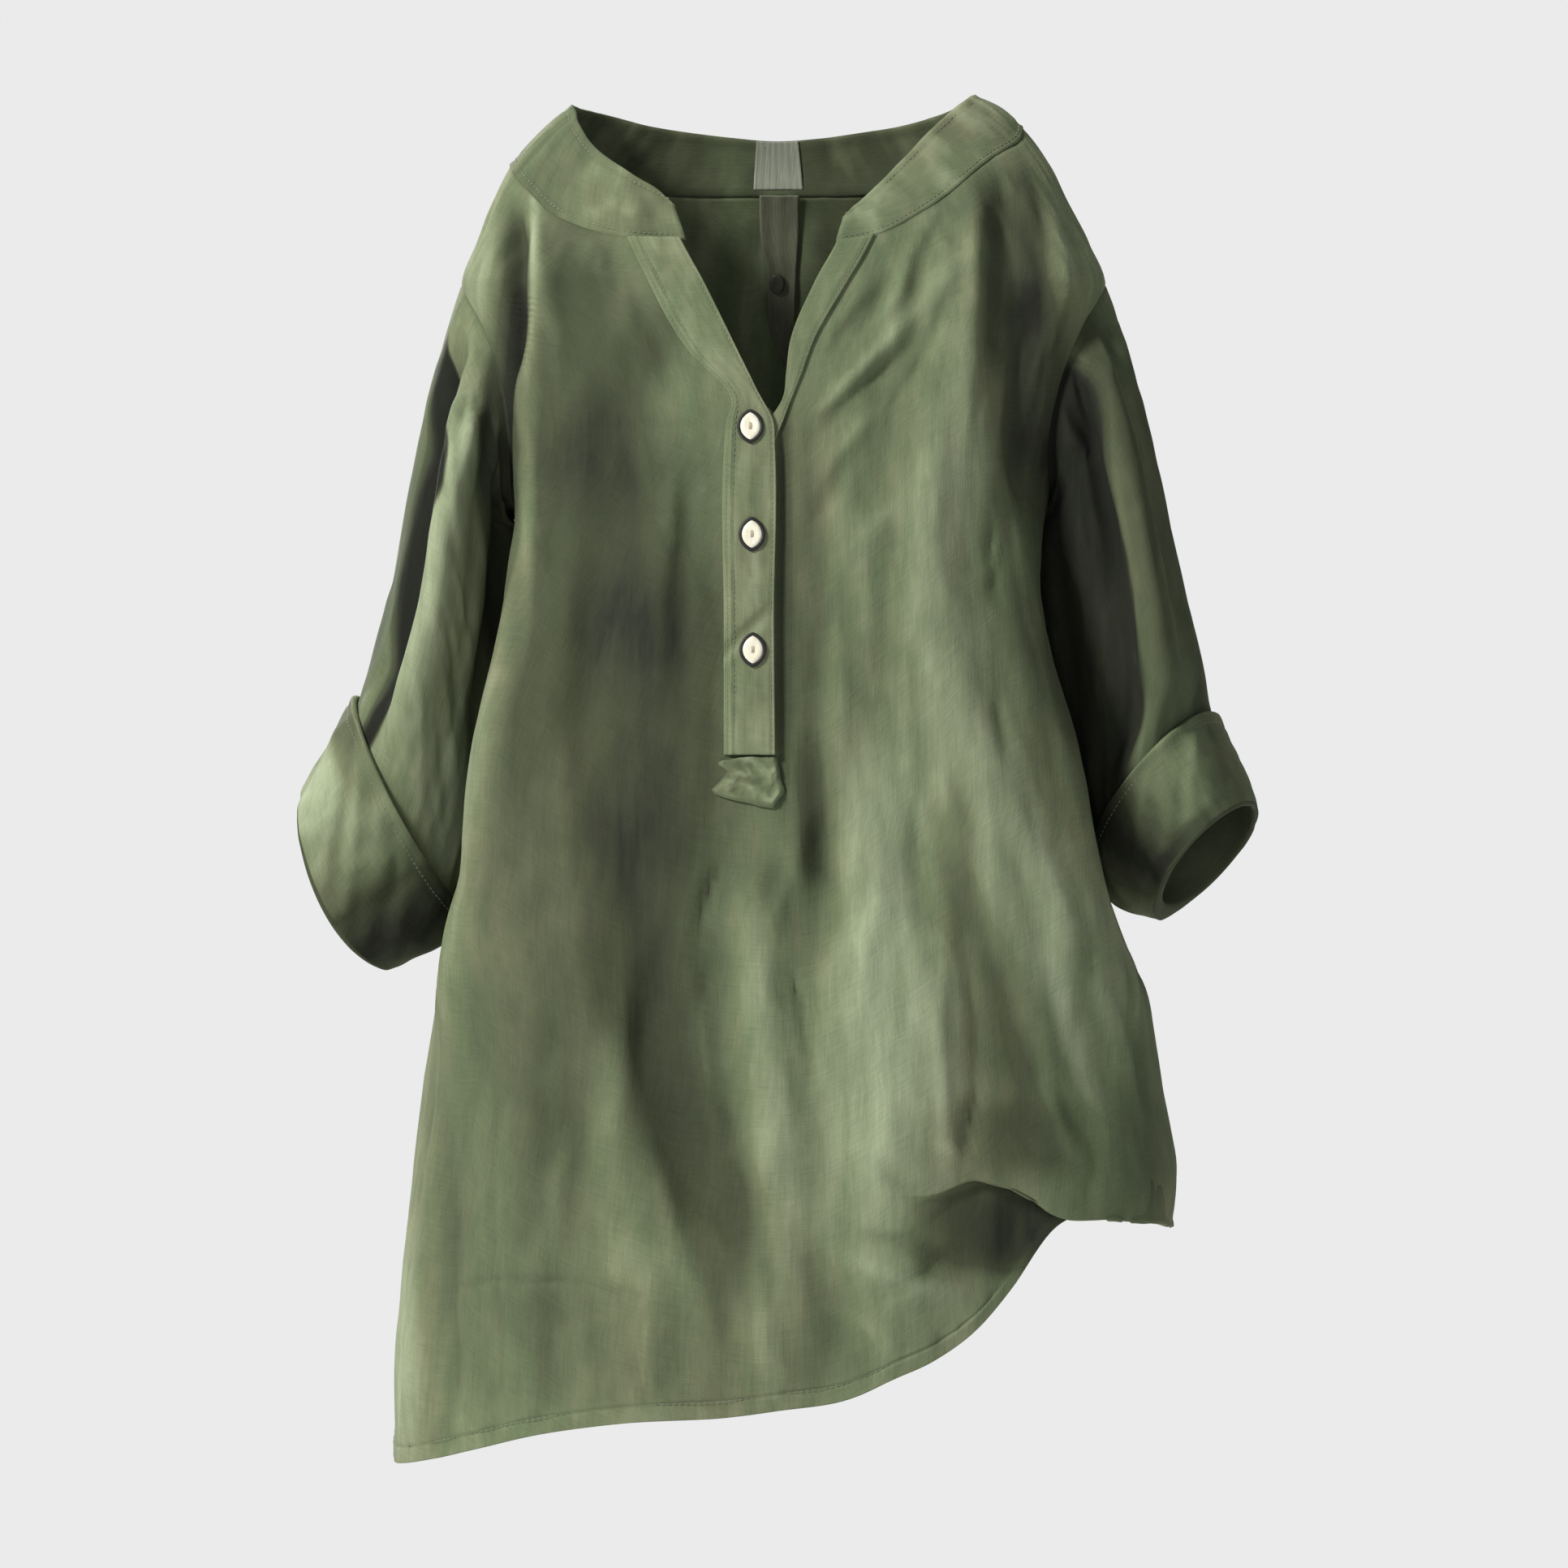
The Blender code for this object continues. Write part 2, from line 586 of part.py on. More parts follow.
def sleeve_surface(side, rows_at=SLEEVE_ROWS):
    """Outer face of the sleeve from the armhole to the cuff's edge, and its outward directions."""
    loop, out = armhole_loop(side)
    around = sleeve_angles(loop)
    rings = np.stack([loop] + [ring_points(ring, side, around) for ring in SLEEVE_RINGS[side]])
    at = np.asarray(rows_at, float)
    slopes = np.gradient(rings, np.array(RING_AT), axis=0)
    slopes[0] += out * (SLEEVE_START * (0.15 + 0.85 * np.sin(around / 2) ** 2))[:, None]
    i = np.clip(np.searchsorted(RING_AT, at, side="right") - 1, 0, len(RING_AT) - 2)
    step = np.diff(RING_AT)[i][:, None, None]
    u = ((at - np.array(RING_AT)[i]))[:, None, None] / step
    grid = (
        (1 + 2 * u) * (1 - u) ** 2 * rings[i]
        + u * (1 - u) ** 2 * step * slopes[i]
        + u**2 * (3 - 2 * u) * rings[i + 1]
        + u**2 * (u - 1) * step * slopes[i + 1]
    )
    normal = grid_normals(grid)
    if np.sum(normal[5] * (grid[5] - grid[5].mean(0))) < 0:
        normal = -normal
    lift = np.zeros(grid.shape[:2])
    for angle, start, stop, width, height in SLEEVE_FOLDS[side]:
        away = np.degrees(around) - angle
        away = (away + 180) % 360 - 180
        along = ease((at - start) / 0.14) * ease((stop - at) / 0.1)
        lift += height * along[:, None] * np.exp(-((away / width) ** 2))
    grid = grid + normal * lift[..., None]
    sign = 1 if np.sum(grid_normals(grid)[5] * (grid[5] - grid[5].mean(0))) > 0 else -1
    normal = sign * grid_normals(grid)
    share = ease(at / 0.12)[:, None, None]
    return grid, unit(blend(out[None], normal, share))


def make_sleeve(name, side, material):
    grid, out = sleeve_surface(side)
    grid, out = grid[: SLEEVE_LAST_ROW + 1], out[: SLEEVE_LAST_ROW + 1]
    faces = grid_faces(grid.shape[0], grid.shape[1], closed=True)
    add_piece(name, *shell(grid.reshape(-1, 3), faces, -out.reshape(-1, 3), CLOTH), material)


def make_cuff(name, side, material):
    """Turned-up end of the sleeve: one rounded band clear of the sleeve inside it."""
    grid, out = sleeve_surface(side)
    grid, out = grid[CUFF_FIRST_ROW:], out[CUFF_FIRST_ROW:]
    last = len(grid) - 1
    step_out = unit(grid[last] - grid[last - 1])
    step_back = unit(grid[0] - grid[1])
    middle = CUFF_GAP + CUFF_CLOTH / 2
    full = CUFF_GAP + CUFF_CLOTH
    loops = [grid[i] + out[i] * CUFF_GAP for i in range(last + 1)]
    loops.append(grid[last] + out[last] * middle + step_out * CUFF_FOOT_ROLL)
    loops += [grid[i] + out[i] * (full + CUFF_BULGE[i]) for i in range(last, -1, -1)]
    loops.append(grid[0] + out[0] * middle + step_back * CUFF_TOP_ROLL)
    rows, columns = len(loops), grid.shape[1]
    faces = grid_faces(rows, columns, closed=True)
    for j in range(columns):
        k = (j + 1) % columns
        faces.append(((rows - 1) * columns + j, (rows - 1) * columns + k, k, j))
    add_piece(name, np.concatenate(loops), faces, material)


def band_surface(angles, shares):
    """Outer face of the neck band: the share runs from the neck seam to the top edge."""
    level = through(np.mod(angles, 360), NECK_SEAM, 1)
    seam = skin(angles, level)
    top = np.stack([through(angles, BAND_TOP, i) for i in (1, 2, 3)], axis=-1)
    grid = blend(seam[None], top[None], np.asarray(shares)[:, None, None])
    along = np.gradient(grid, axis=0)
    across = np.gradient(grid, axis=1)
    out = unit(np.cross(along, across))
    if out[0, len(angles) // 2, 1] < 0:
        out = -out
    grid = grid + out * BAND_BULGE * np.sin(math.pi * np.asarray(shares))[:, None, None]
    return grid, unit(blend(body_normal(angles, 0.0 * angles)[None], out, ease(np.asarray(shares) / 0.3)[:, None, None]))


def make_band(material):
    angles = np.linspace(73, -259, 59)
    shares = (0.012, 0.34, 0.67, 1.0)
    grid, out = band_surface(angles, shares)
    faces = grid_faces(*grid.shape[:2])
    add_piece("collar_band", *shell(grid.reshape(-1, 3), faces, -out.reshape(-1, 3), BAND_CLOTH), material)


def strip_on_front(levels, left, right, columns, height):
    """Points over the front's outer face, between two edges, at a height over it."""
    share = np.linspace(0, 1, columns + 1)
    x = left[:, None] + (right - left)[:, None] * share
    level = np.broadcast_to(levels[:, None], x.shape).copy()
    near_seam = ease((level + 110) / 28)
    angle = angle_of(x, level)
    seam = through(angle, NECK_SEAM, 1) - 2 * SEAM_GAP
    level = np.where(level > -110, blend(level, seam + (level - levels[0]), near_seam), level)
    angle = angle_of(x, level)
    out = skin_normal(angle, level)
    return skin(angle, level) + out * np.asarray(height)[:, None, None], out


def make_placket_over(material):
    levels = np.concatenate([np.linspace(-82, -187, 12), np.linspace(-200, -374, 13)])
    left, right, height = (through(levels, PLACKET_OVER, i) for i in (1, 2, 3))
    grid, out = strip_on_front(levels, left, right, 3, height + PLACKET_CLOTH)
    faces = grid_faces(*grid.shape[:2])
    add_piece("placket_over", *shell(grid.reshape(-1, 3), faces, -out.reshape(-1, 3), PLACKET_CLOTH), material)


def make_placket_under(material):
    levels = np.concatenate([np.linspace(-82, -215, 18), np.linspace(-230, -372, 10)])
    left, right = (through(levels, PLACKET_UNDER, i) for i in (1, 2))
    grid, out = strip_on_front(levels, left, right, 2, np.full(len(levels), SEAM_GAP + CLOTH))
    faces = grid_faces(*grid.shape[:2])
    add_piece("placket_under", *shell(grid.reshape(-1, 3), faces, -out.reshape(-1, 3), CLOTH), material)


def make_placket_end(material):
    left, right, top, foot = PLACKET_END
    levels = np.linspace(top, foot, len(PLACKET_END_WAVE))
    wave = np.array(PLACKET_END_WAVE)
    grid, out = strip_on_front(levels, left + wave, right - wave, 4, np.full(len(levels), SEAM_GAP + PLACKET_END_CLOTH))
    faces = grid_faces(*grid.shape[:2])
    add_piece("placket_end", *shell(grid.reshape(-1, 3), faces, -out.reshape(-1, 3), PLACKET_END_CLOTH), material)


def place_on_front(x, level, height):
    """Origin and axes (across, up, out) of something that sits flat over the front."""
    angle = angle_of(x, level)
    out = skin_normal(angle, level)
    up = unit(np.array([0, 0, 1.0]) - out * out[2])
    return skin(angle, level) + out * height, np.cross(up, out), up, out


def oval_rings(place, halves, profile, count=16):
    """Rings of points: the profile holds shares of the half sizes and heights."""
    origin, across, up, out = place
    turn = np.linspace(0, 2 * math.pi, count, endpoint=False)[:, None]
    return [
        origin + share * (halves[0] * np.cos(turn) * across + halves[1] * np.sin(turn) * up) + high * out
        for share, high in profile
    ]


def make_ring(name, place, halves, hole, height, material):
    inner = (hole[0] + SEAM_GAP) / halves[0]
    profile = ((inner, 0.0), (0.97, 0.0), (1.0, height * 0.4), (0.95, height * 0.85), (inner + 0.06, height), (inner, height * 0.8))
    rings = oval_rings(place, halves, profile)
    rows, columns = len(rings), len(rings[0])
    faces = grid_faces(rows, columns, closed=True)
    for j in range(columns):
        k = (j + 1) % columns
        faces.append(((rows - 1) * columns + j, (rows - 1) * columns + k, k, j))
    add_piece(name, np.concatenate(rings), faces, material)


def make_disc(name, place, halves, height, material):
    profile = ((0.5, 0.0), (0.97, 0.0), (1.0, height * 0.45), (0.86, height * 0.8), (0.55, height * 0.95))
    rings = oval_rings(place, halves, profile)
    origin, _, _, out = place
    points = np.concatenate(rings + [[origin], [origin + out * height]])
    rows, columns = len(rings), len(rings[0])
    faces = grid_faces(rows, columns, closed=True)
    foot, crown = rows * columns, rows * columns + 1
    for j in range(columns):
        k = (j + 1) % columns
        faces.append((foot, k, j))
        faces.append((crown, (rows - 1) * columns + j, (rows - 1) * columns + k))
    add_piece(name, points, faces, material)


def make_buttons(rim, face):
    for number, (x, level) in enumerate(BUTTON_PLACES, 1):
        place = place_on_front(x, level, PLACKET_LIFT + PLACKET_CLOTH + SEAM_GAP)
        make_ring(f"button_{number}", place, BUTTON_RIM, BUTTON_FACE, BUTTON_HEIGHT * 0.8, rim)
        make_disc(f"button_face_{number}", place, BUTTON_FACE, BUTTON_HEIGHT, face)


def make_tape(material):
    angles = np.linspace(*TAPE_ANGLES, 3)
    shares = np.linspace(0.14, 0.985, 5)
    grid, out = band_surface(angles, shares)
    out = np.broadcast_to(out[:, 1:2], out.shape)
    grid = grid - out * (BAND_CLOTH + TAPE_GAP)
    faces = grid_faces(*grid.shape[:2])
    add_piece("neck_tape", *shell(grid.reshape(-1, 3), faces, -out.reshape(-1, 3), TAPE_CLOTH), material)


def make_tail(material):
    levels = np.linspace(-52.5, -150, 12)
    left, right = through(levels, TAIL, 1), through(levels, TAIL, 2)
    x = left[:, None] + (right - left)[:, None] * np.linspace(0, 1, 3)
    level = np.broadcast_to(levels[:, None], x.shape)
    angle = angle_of(x, level, back=True)
    out = skin_normal(angle, level)
    inset = blend(BAND_CLOTH, CLOTH, ease((-56 - level) / 20)) + TAIL_GAP
    grid = skin(angle, level) - out * inset[..., None]
    faces = grid_faces(*grid.shape[:2])
    add_piece("neck_tail", *shell(grid.reshape(-1, 3), faces, -out.reshape(-1, 3), TAPE_CLOTH), material)


def make_spare_button(material):
    x, level, half_wide, half_high, height = SPARE_BUTTON
    angle = angle_of(x, level, back=True)
    out = -skin_normal(angle, level)
    up = unit(np.array([0, 0, 1.0]) - out * out[2])
    origin = skin(angle, level) + out * (CLOTH + TAIL_GAP + TAPE_CLOTH + SEAM_GAP)
    make_disc("spare_button", (origin, np.cross(up, out), up, out), (half_wide, half_high), height, material)


def build():
    clear_scene()
    group = bpy.data.collections.new("tunic")
    bpy.context.scene.collection.children.link(group)
    cloth = make_material("cloth", GREEN_CLOTH, 0.85)
    pale = make_material("tape_cloth", PALE_TAPE, 0.7)
    dark = make_material("tail_cloth", DARK_TAPE, 0.7)
    white = make_material("button_face", SHELL_WHITE, 0.3)
    black = make_material("button_rim", NEAR_BLACK, 0.4)
    make_front(cloth)
    make_back(cloth)
    make_sleeve("sleeve_left", -1, cloth)
    make_sleeve("sleeve_right", 1, cloth)
    make_cuff("cuff_left", -1, cloth)
    make_cuff("cuff_right", 1, cloth)
    make_band(cloth)
    make_placket_over(cloth)
    make_placket_under(cloth)
    make_placket_end(cloth)
    make_buttons(black, white)
    make_tape(pale)
    make_tail(dark)
    make_spare_button(black)


build()
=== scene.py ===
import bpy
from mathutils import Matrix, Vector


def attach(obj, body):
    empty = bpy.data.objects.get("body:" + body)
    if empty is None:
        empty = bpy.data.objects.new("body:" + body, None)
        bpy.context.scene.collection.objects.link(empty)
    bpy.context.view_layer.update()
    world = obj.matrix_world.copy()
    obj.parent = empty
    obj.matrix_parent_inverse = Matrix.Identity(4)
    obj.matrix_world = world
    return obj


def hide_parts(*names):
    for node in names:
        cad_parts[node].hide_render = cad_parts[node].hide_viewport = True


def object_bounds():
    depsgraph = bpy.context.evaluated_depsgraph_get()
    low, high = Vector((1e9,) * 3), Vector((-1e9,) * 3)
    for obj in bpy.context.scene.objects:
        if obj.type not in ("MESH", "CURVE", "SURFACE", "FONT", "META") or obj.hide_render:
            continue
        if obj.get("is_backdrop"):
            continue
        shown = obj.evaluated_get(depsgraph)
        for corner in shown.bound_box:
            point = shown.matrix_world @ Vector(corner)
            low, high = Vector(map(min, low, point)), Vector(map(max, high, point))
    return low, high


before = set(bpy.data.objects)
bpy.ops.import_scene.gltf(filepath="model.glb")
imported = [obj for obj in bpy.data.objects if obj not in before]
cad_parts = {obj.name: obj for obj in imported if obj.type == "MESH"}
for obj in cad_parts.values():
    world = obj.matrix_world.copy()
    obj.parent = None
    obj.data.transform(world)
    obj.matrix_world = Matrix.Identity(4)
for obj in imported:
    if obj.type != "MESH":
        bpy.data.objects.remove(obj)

"""Looks of the tunic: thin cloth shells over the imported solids, with creases, sewing, buttons and finishes.

Tables are in millimetres and degrees. Round the body 0 is the left side (-X), 90 the front (-Y), 180 the right
side and 270 the back. A level is a height, mostly below 0 as the origin is at the top. A share is from 0 to 1.
"""

import math

import bmesh
import bpy
import numpy as np
from mathutils import Vector

cad_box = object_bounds()
MM = 0.001

# ---------------------------------------------------------------- form of the solids, as the part has it

SHOULDER_POINT_Z = -105.0
SLIT_FOOT_Z = -187.0
UNDERARM_Z = -240.0
NECK_FRONT_Z = -84.0

# Sections of the body: level, half width left and right, depth front and back, squareness
BODY_SECTIONS = (
    (-773, 216.0, 225.0, 144, 134, 2.8),
    (-700, 213.0, 226.0, 142, 132, 2.8),
    (-636, 207.0, 226.0, 139, 129, 2.8),
    (-613, 203.8, 227.5, 138, 128, 2.8),
    (-557, 197.0, 218.5, 134, 124, 2.8),
    (-532, 195.5, 216.0, 132, 122, 2.8),
    (-502, 196.5, 213.5, 130, 120, 2.8),
    (-470, 190.0, 201.0, 127, 117, 2.9),
    (-440, 180.0, 189.0, 124, 115, 2.9),
    (-406, 171.0, 178.0, 121, 112, 3.0),
    (-360, 163.3, 168.5, 117, 109, 3.0),
    (-314, 156.8, 160.5, 114, 106, 3.0),
    (-276, 152.5, 156.0, 110, 102, 3.0),
    (-240, 150.5, 153.5, 106, 99, 3.0),
    (-203, 154.0, 158.5, 101, 95, 2.9),
    (-165, 162.5, 169.5, 94, 90, 2.7),
    (-130, 172.5, 181.0, 86, 84, 2.5),
    (-105, 177.5, 187.0, 79, 77, 2.4),
    (-84, 169.5, 178.0, 72, 70, 2.3),
    (-60, 160.0, 165.5, 60, 58, 2.2),
    (-38, 149.0, 155.0, 44, 42, 2.1),
    (-17, 134.0, 139.0, 25, 25, 2.0),
    (0, 118.0, 118.0, 12, 12, 2.0),
)
# Neck seam: angle, level
NECK_SEAM = (
    (-20, -41.0), (0, -38.0), (30, -54.0), (44, -69.5), (60, -81.5), (73, -83.5), (90, -84.5),
    (101, -84.6), (108, -81.0), (118, -67.6), (137, -40.0), (160, -25.0), (180, -17.0), (210, -30.0),
    (230, -44.0), (250, -53.0), (270, -54.0), (290, -54.0), (310, -50.0), (330, -44.0),
    (360, -38.0), (390, -54.0),
)
# Hem and the tuck above it: angle, top and foot of the tuck, its rise, its depth, hem level
TUCK_TOP, TUCK_FOOT, TUCK_RISE, TUCK_DEPTH, HEM_LEVEL = range(1, 6)
HEM_AND_TUCK = (
    (-22, -600.0, -680.0, 0.0, 0.0, -765),
    (0, -600.0, -680.0, 0.0, 0.0, -768),
    (22, -600.0, -680.0, 0.0, 0.0, -772),
    (40, -600.0, -680.0, 0.0, 0.0, -765),
    (59, -600.0, -675.0, 0.0, 0.0, -750),
    (69, -600.0, -670.0, 0.0, 0.0, -745),
    (83, -600.0, -662.0, 0.0, 0.0, -742),
    (90, -602.0, -658.0, 0.0, 0.0, -738.5),
    (101, -604.0, -650.0, 0.0, 0.0, -731),
    (107, -606.0, -644.0, 1.0, 1.5, -720),
    (111, -606.0, -636.0, 3.5, 3.5, -713),
    (117.6, -597.3, -618.0, 7.0, 6.5, -695),
    (123.3, -600.6, -619.4, 12.5, 9.0, -671),
    (129.4, -609.5, -625.0, 17.4, 10.0, -640),
    (139.2, -613.4, -625.4, 17.5, 10.0, -630),
    (151.8, -616.5, -628.5, 17.5, 10.0, -632),
    (180, -619.0, -631.0, 17.5, 10.0, -634),
    (200, -613.0, -627.0, 14.0, 9.0, -630),
    (225, -604.0, -624.0, 6.0, 5.0, -628),
    (237, -600.0, -632.0, 1.0, 1.5, -655),
    (243, -600.0, -640.0, 0.0, 0.0, -682),
    (250, -600.0, -648.0, 0.0, 0.0, -702),
    (258, -600.0, -652.0, 0.0, 0.0, -720),
    (270, -600.0, -656.0, 0.0, 0.0, -732),
    (290, -600.0, -664.0, 0.0, 0.0, -742),
    (320, -600.0, -674.0, 0.0, 0.0, -758),
    (338, -600.0, -680.0, 0.0, 0.0, -765),
    (360, -600.0, -680.0, 0.0, 0.0, -768),
    (382, -600.0, -680.0, 0.0, 0.0, -772),
)
# Armhole: level, half angle of the opening
ARMHOLE = (
    (-240, 0.0), (-236, 8.0), (-225, 16.0), (-205, 23.0), (-175, 27.0), (-146, 25.0),
    (-122, 18.0), (-110, 9.0), (-105, 0.0),
)
# The same with soft ends, which the creases fade out before
FADE_AROUND = (
    (-275, 0.0), (-255, 4.0), (-236, 13.0), (-205, 23.0), (-175, 27.0), (-146, 26.0), (-122, 22.0),
    (-105, 15.0), (-88, 6.0), (-68, 0.0),
)
# Large folds: side (1 front, -1 back), x and level at the top, x and level at the foot, width, height
BODY_FOLDS = (
    (1, -88, -120, -100, -330, 16, -3.5),
    (1, -62, -140, -72, -330, 10, 2.5),
    (1, 120, -116, 124, -390, 18, -3.5),
    (1, 76, -250, 172, -600, 22, 5.5),
    (1, 26, -392, 22, -500, 13, -7.0),
    (1, 92, -390, 66, -680, 24, 6.0),
    (1, 106, -420, 134, -590, 20, -6.5),
    (1, -110, -420, -30, -650, 19, -8.0),
    (1, -8, -440, 4, -640, 17, 4.5),
    (1, -150, -300, -128, -700, 20, 4.0),
    (1, -60, -600, -70, -770, 16, 3.5),
    (1, 60, -620, 30, -740, 22, -5.0),
    (-1, 0, -170, 6, -720, 26, -9.0),
    (-1, -82, -200, -108, -740, 24, 7.0),
    (-1, 84, -190, 112, -640, 24, 7.0),
    (-1, -46, -330, -56, -745, 16, -5.0),
    (-1, 48, -300, 60, -700, 16, -5.0),
    (-1, 140, -260, 170, -600, 20, -6.0),
    (-1, -138, -260, -164, -740, 20, -6.0),
)
# Length over which a large fold fades in
FOLD_FADE = 110.0
# The sleeves press the sides in, which lifts the corners beside them: level, depth of dent, lift of corners
SIDE_DENT = (
    (-580, 0.0, 0.0), (-555, 0.0, 0.0), (-505, 8.0, 5.0), (-456, 30.0, 14.0), (-405, 34.0, 18.0),
    (-350, 33.0, 18.0), (-300, 26.0, 12.5), (-262, 13.0, 6.0), (-235, 4.0, 2.2), (-205, 0.0, 0.0),
    (-180, 0.0, 0.0),
)
DENT_WIDTH = 0.56
CORNER_FACING = 0.56
CORNER_WIDTH = 0.2
# How much fuller the cloth stands under the right armhole than its plain outline, from where to where
FULLER_RIGHT = 5.0
FULLER_WIDTH = 0.42
FULLER_TOP = -196.0
FULLER_FOOT = -410.0
# Front opening: level, x of the free edge of the upper strip and of the edge of the lower strip
OPENING = (
    (-187, -1.0, 2.0), (-176, -5.5, 4.0), (-165, -10.0, 5.5), (-148, -18.0, 7.5), (-134, -24.5, 10.0),
    (-105, -39.0, 24.0), (-84, -50.0, 34.0),
)
CLOTH_SHORT_OF_STRIP = 3.0
SLIT_FOOT_X = 0.5
PLACKET_LIFT = 2.1
# Upper placket strip: level, x of the stitched edge, x of the free edge, height over the cloth
PLACKET_OVER = (
    (-374, -28.6, 0.0, PLACKET_LIFT),
    (-300, -28.6, -0.6, PLACKET_LIFT),
    (-203, -28.5, 0.0, PLACKET_LIFT),
    (-187, -27.2, -1.0, PLACKET_LIFT),
    (-176, -24.5, -5.0, PLACKET_LIFT),
    (-148, -48.3, -18.0, 0.8),
    (-97.5, -76.0, -42.8, 0.7),
    (-82, -83.0, -50.6, 0.7),
)
# Lower placket strip: level, x of the left and right edge
PLACKET_UNDER = (
    (-372, -24.0, -2.0),
    (-300, -24.0, -2.0),
    (-235, -24.0, -2.0),
    (-212, -23.0, -1.6),
    (-197, -14.5, 0.5),
    (-187, -4.0, 4.5),
    (-176, 3.6, 8.5),
    (-160, 6.2, 15.0),
    (-143.5, 8.2, 21.0),
    (-107, 23.0, 41.4),
    (-82, 35.0, 55.5),
)
# The cloth lies flat under the plackets: half width of that under each strip, and over how much it fades
HALF_OVER = 20.0
HALF_UNDER = 13.0
FLAT_FADE = 14.0
PLACKET_FOOT_Z = -402.0
# The strips follow the neck seam above this level
STRIPS_TURN_Z = -110.0
# Uneven outline of the tab over the placket's foot: shares along its edges, then levels of its top and foot,
# and x of its sides
TAB_FOOT_AT = (0.0, 0.3, 0.6, 0.84, 0.92, 1.0)
TAB_TOP = (-377.5, -376.0, -375.0, -375.0, -375.0, -375.0)
TAB_FOOT = (-396.0, -399.5, -402.5, -403.5, -398.0, -395.5)
TAB_SIDE_AT = (0.0, 0.12, 0.35, 0.6, 0.85, 1.0)
TAB_LEFT = (-31.0, -31.5, -26.5, -31.0, -36.0, -34.0)
TAB_RIGHT = (0.6, 1.2, 2.6, 3.4, 5.4, 5.0)
# Neck band: angle along it, then x, y and level of its top edge
BAND_TOP = (
    (73, -58, -61, -60),
    (60, -80, -52, -47),
    (44, -101.5, -36, -31),
    (30, -111, -22, -17),
    (12, -113.5, -8, -8),
    (0, -115, 0, -5.5),
    (-20, -110, 14, -6.5),
    (-40, -94, 30, -9.7),
    (-55, -71, 42, -15),
    (-68, -48, 48, -18.4),
    (-79, -25, 51, -21),
    (-90, 0, 52, -23),
    (-101, 25, 51, -21.5),
    (-112, 48, 48, -18.4),
    (-125, 71, 42, -15),
    (-140, 94, 30, -9),
    (-160, 109, 14, -2),
    (-180, 113, 0, 0),
    (-200, 108, -9, -2.5),
    (-223, 90, -19, -18),
    (-242, 62, -40, -48),
    (-252, 47, -52, -63),
    (-259, 39, -60, -68),
)
BAND_BULGE = 2.0
BAND_CLOTH = 2.2
BAND_HIGH = 30.0
# Sleeve rings: outer x and level, inner x and level, y of the middle, half depth, how far the front leads,
# and how much narrower the ring is on the side of the body
SLEEVE_RINGS = {
    -1: (
        (-200.0, -185, -147.5, -262, -4, 60, 0, 0.2),
        (-219.5, -281, -155, -350, -2, 60, 0, 0.4),
        (-228.5, -318, -165.5, -405, -3, 56, 4, 0.4),
        (-235.0, -342, -180, -456, -5, 45, 8, 0.3),
        (-257.0, -389, -222, -487, -8, 45, 21, 0.1),
    ),
    1: (
        (209.0, -185, 150.5, -266, -4, 60, 0, 0.2),
        (232.0, -281, 159.5, -348, -2, 60, 0, 0.4),
        (241.5, -318, 171, -398, -3, 55, -6, 0.4),
        (247.0, -352, 186, -436, -8, 46, -18, 0.3),
        (268.0, -402, 220, -456, -14, 46, -13, 0.1),
    ),
}
# How strongly a sleeve leaves the body at its armhole
SLEEVE_START = 95.0
# Share along the sleeve of the armhole and of each ring
RING_AT = np.array([0.0, 0.33, 0.6, 0.72, 0.82, 1.0])
CUFF_TOP_AT = 0.82
# Large folds of the sleeves: angle, share along of the start and end, width, height, lean
SLEEVE_FOLDS = {
    -1: (
        (38, 0.05, 0.8, 17, -13.0, 0.0),
        (78, 0.10, 0.8, 22, 6.0, 0.0),
        (140, 0.05, 0.70, 20, -8.0, 0.0),
        (212, 0.10, 0.80, 24, -8.0, 0.0),
        (262, 0.10, 0.80, 26, 6.0, 0.0),
        (318, 0.08, 0.8, 20, -9.0, 0.0),
    ),
    1: (
        (56, 0.04, 0.8, 15, 7.0, 20.0),
        (98, 0.05, 0.8, 24, -11.0, 10.0),
        (146, 0.15, 0.80, 20, 4.0, 0.0),
        (214, 0.10, 0.80, 24, -8.0, 0.0),
        (264, 0.10, 0.80, 26, 6.0, 0.0),
        (318, 0.08, 0.8, 20, -9.0, 0.0),
    ),
}
CUFF_CLOTH = 3.6
CUFF_GAP = 0.5
# Buttons: x, level
BUTTON_PLACES = ((-13.8, -191.0), (-12.9, -251.2), (-12.4, -315.6))
TAPE_ANGLES = (-85.4, -95.7)
# Loose tail of the tape: level, left and right x
TAIL = (
    (-150, 4.5, 8.5), (-144, 2.5, 9.5), (-125, -3.7, 11.0), (-97, -4.6, 12.0), (-74, -8.7, 13.6),
    (-52, -9.0, 13.8),
)
# Spare button on the tail: x, level, half width, half height
SPARE_BUTTON = (1.0, -102.6, 4.4, 6.0)
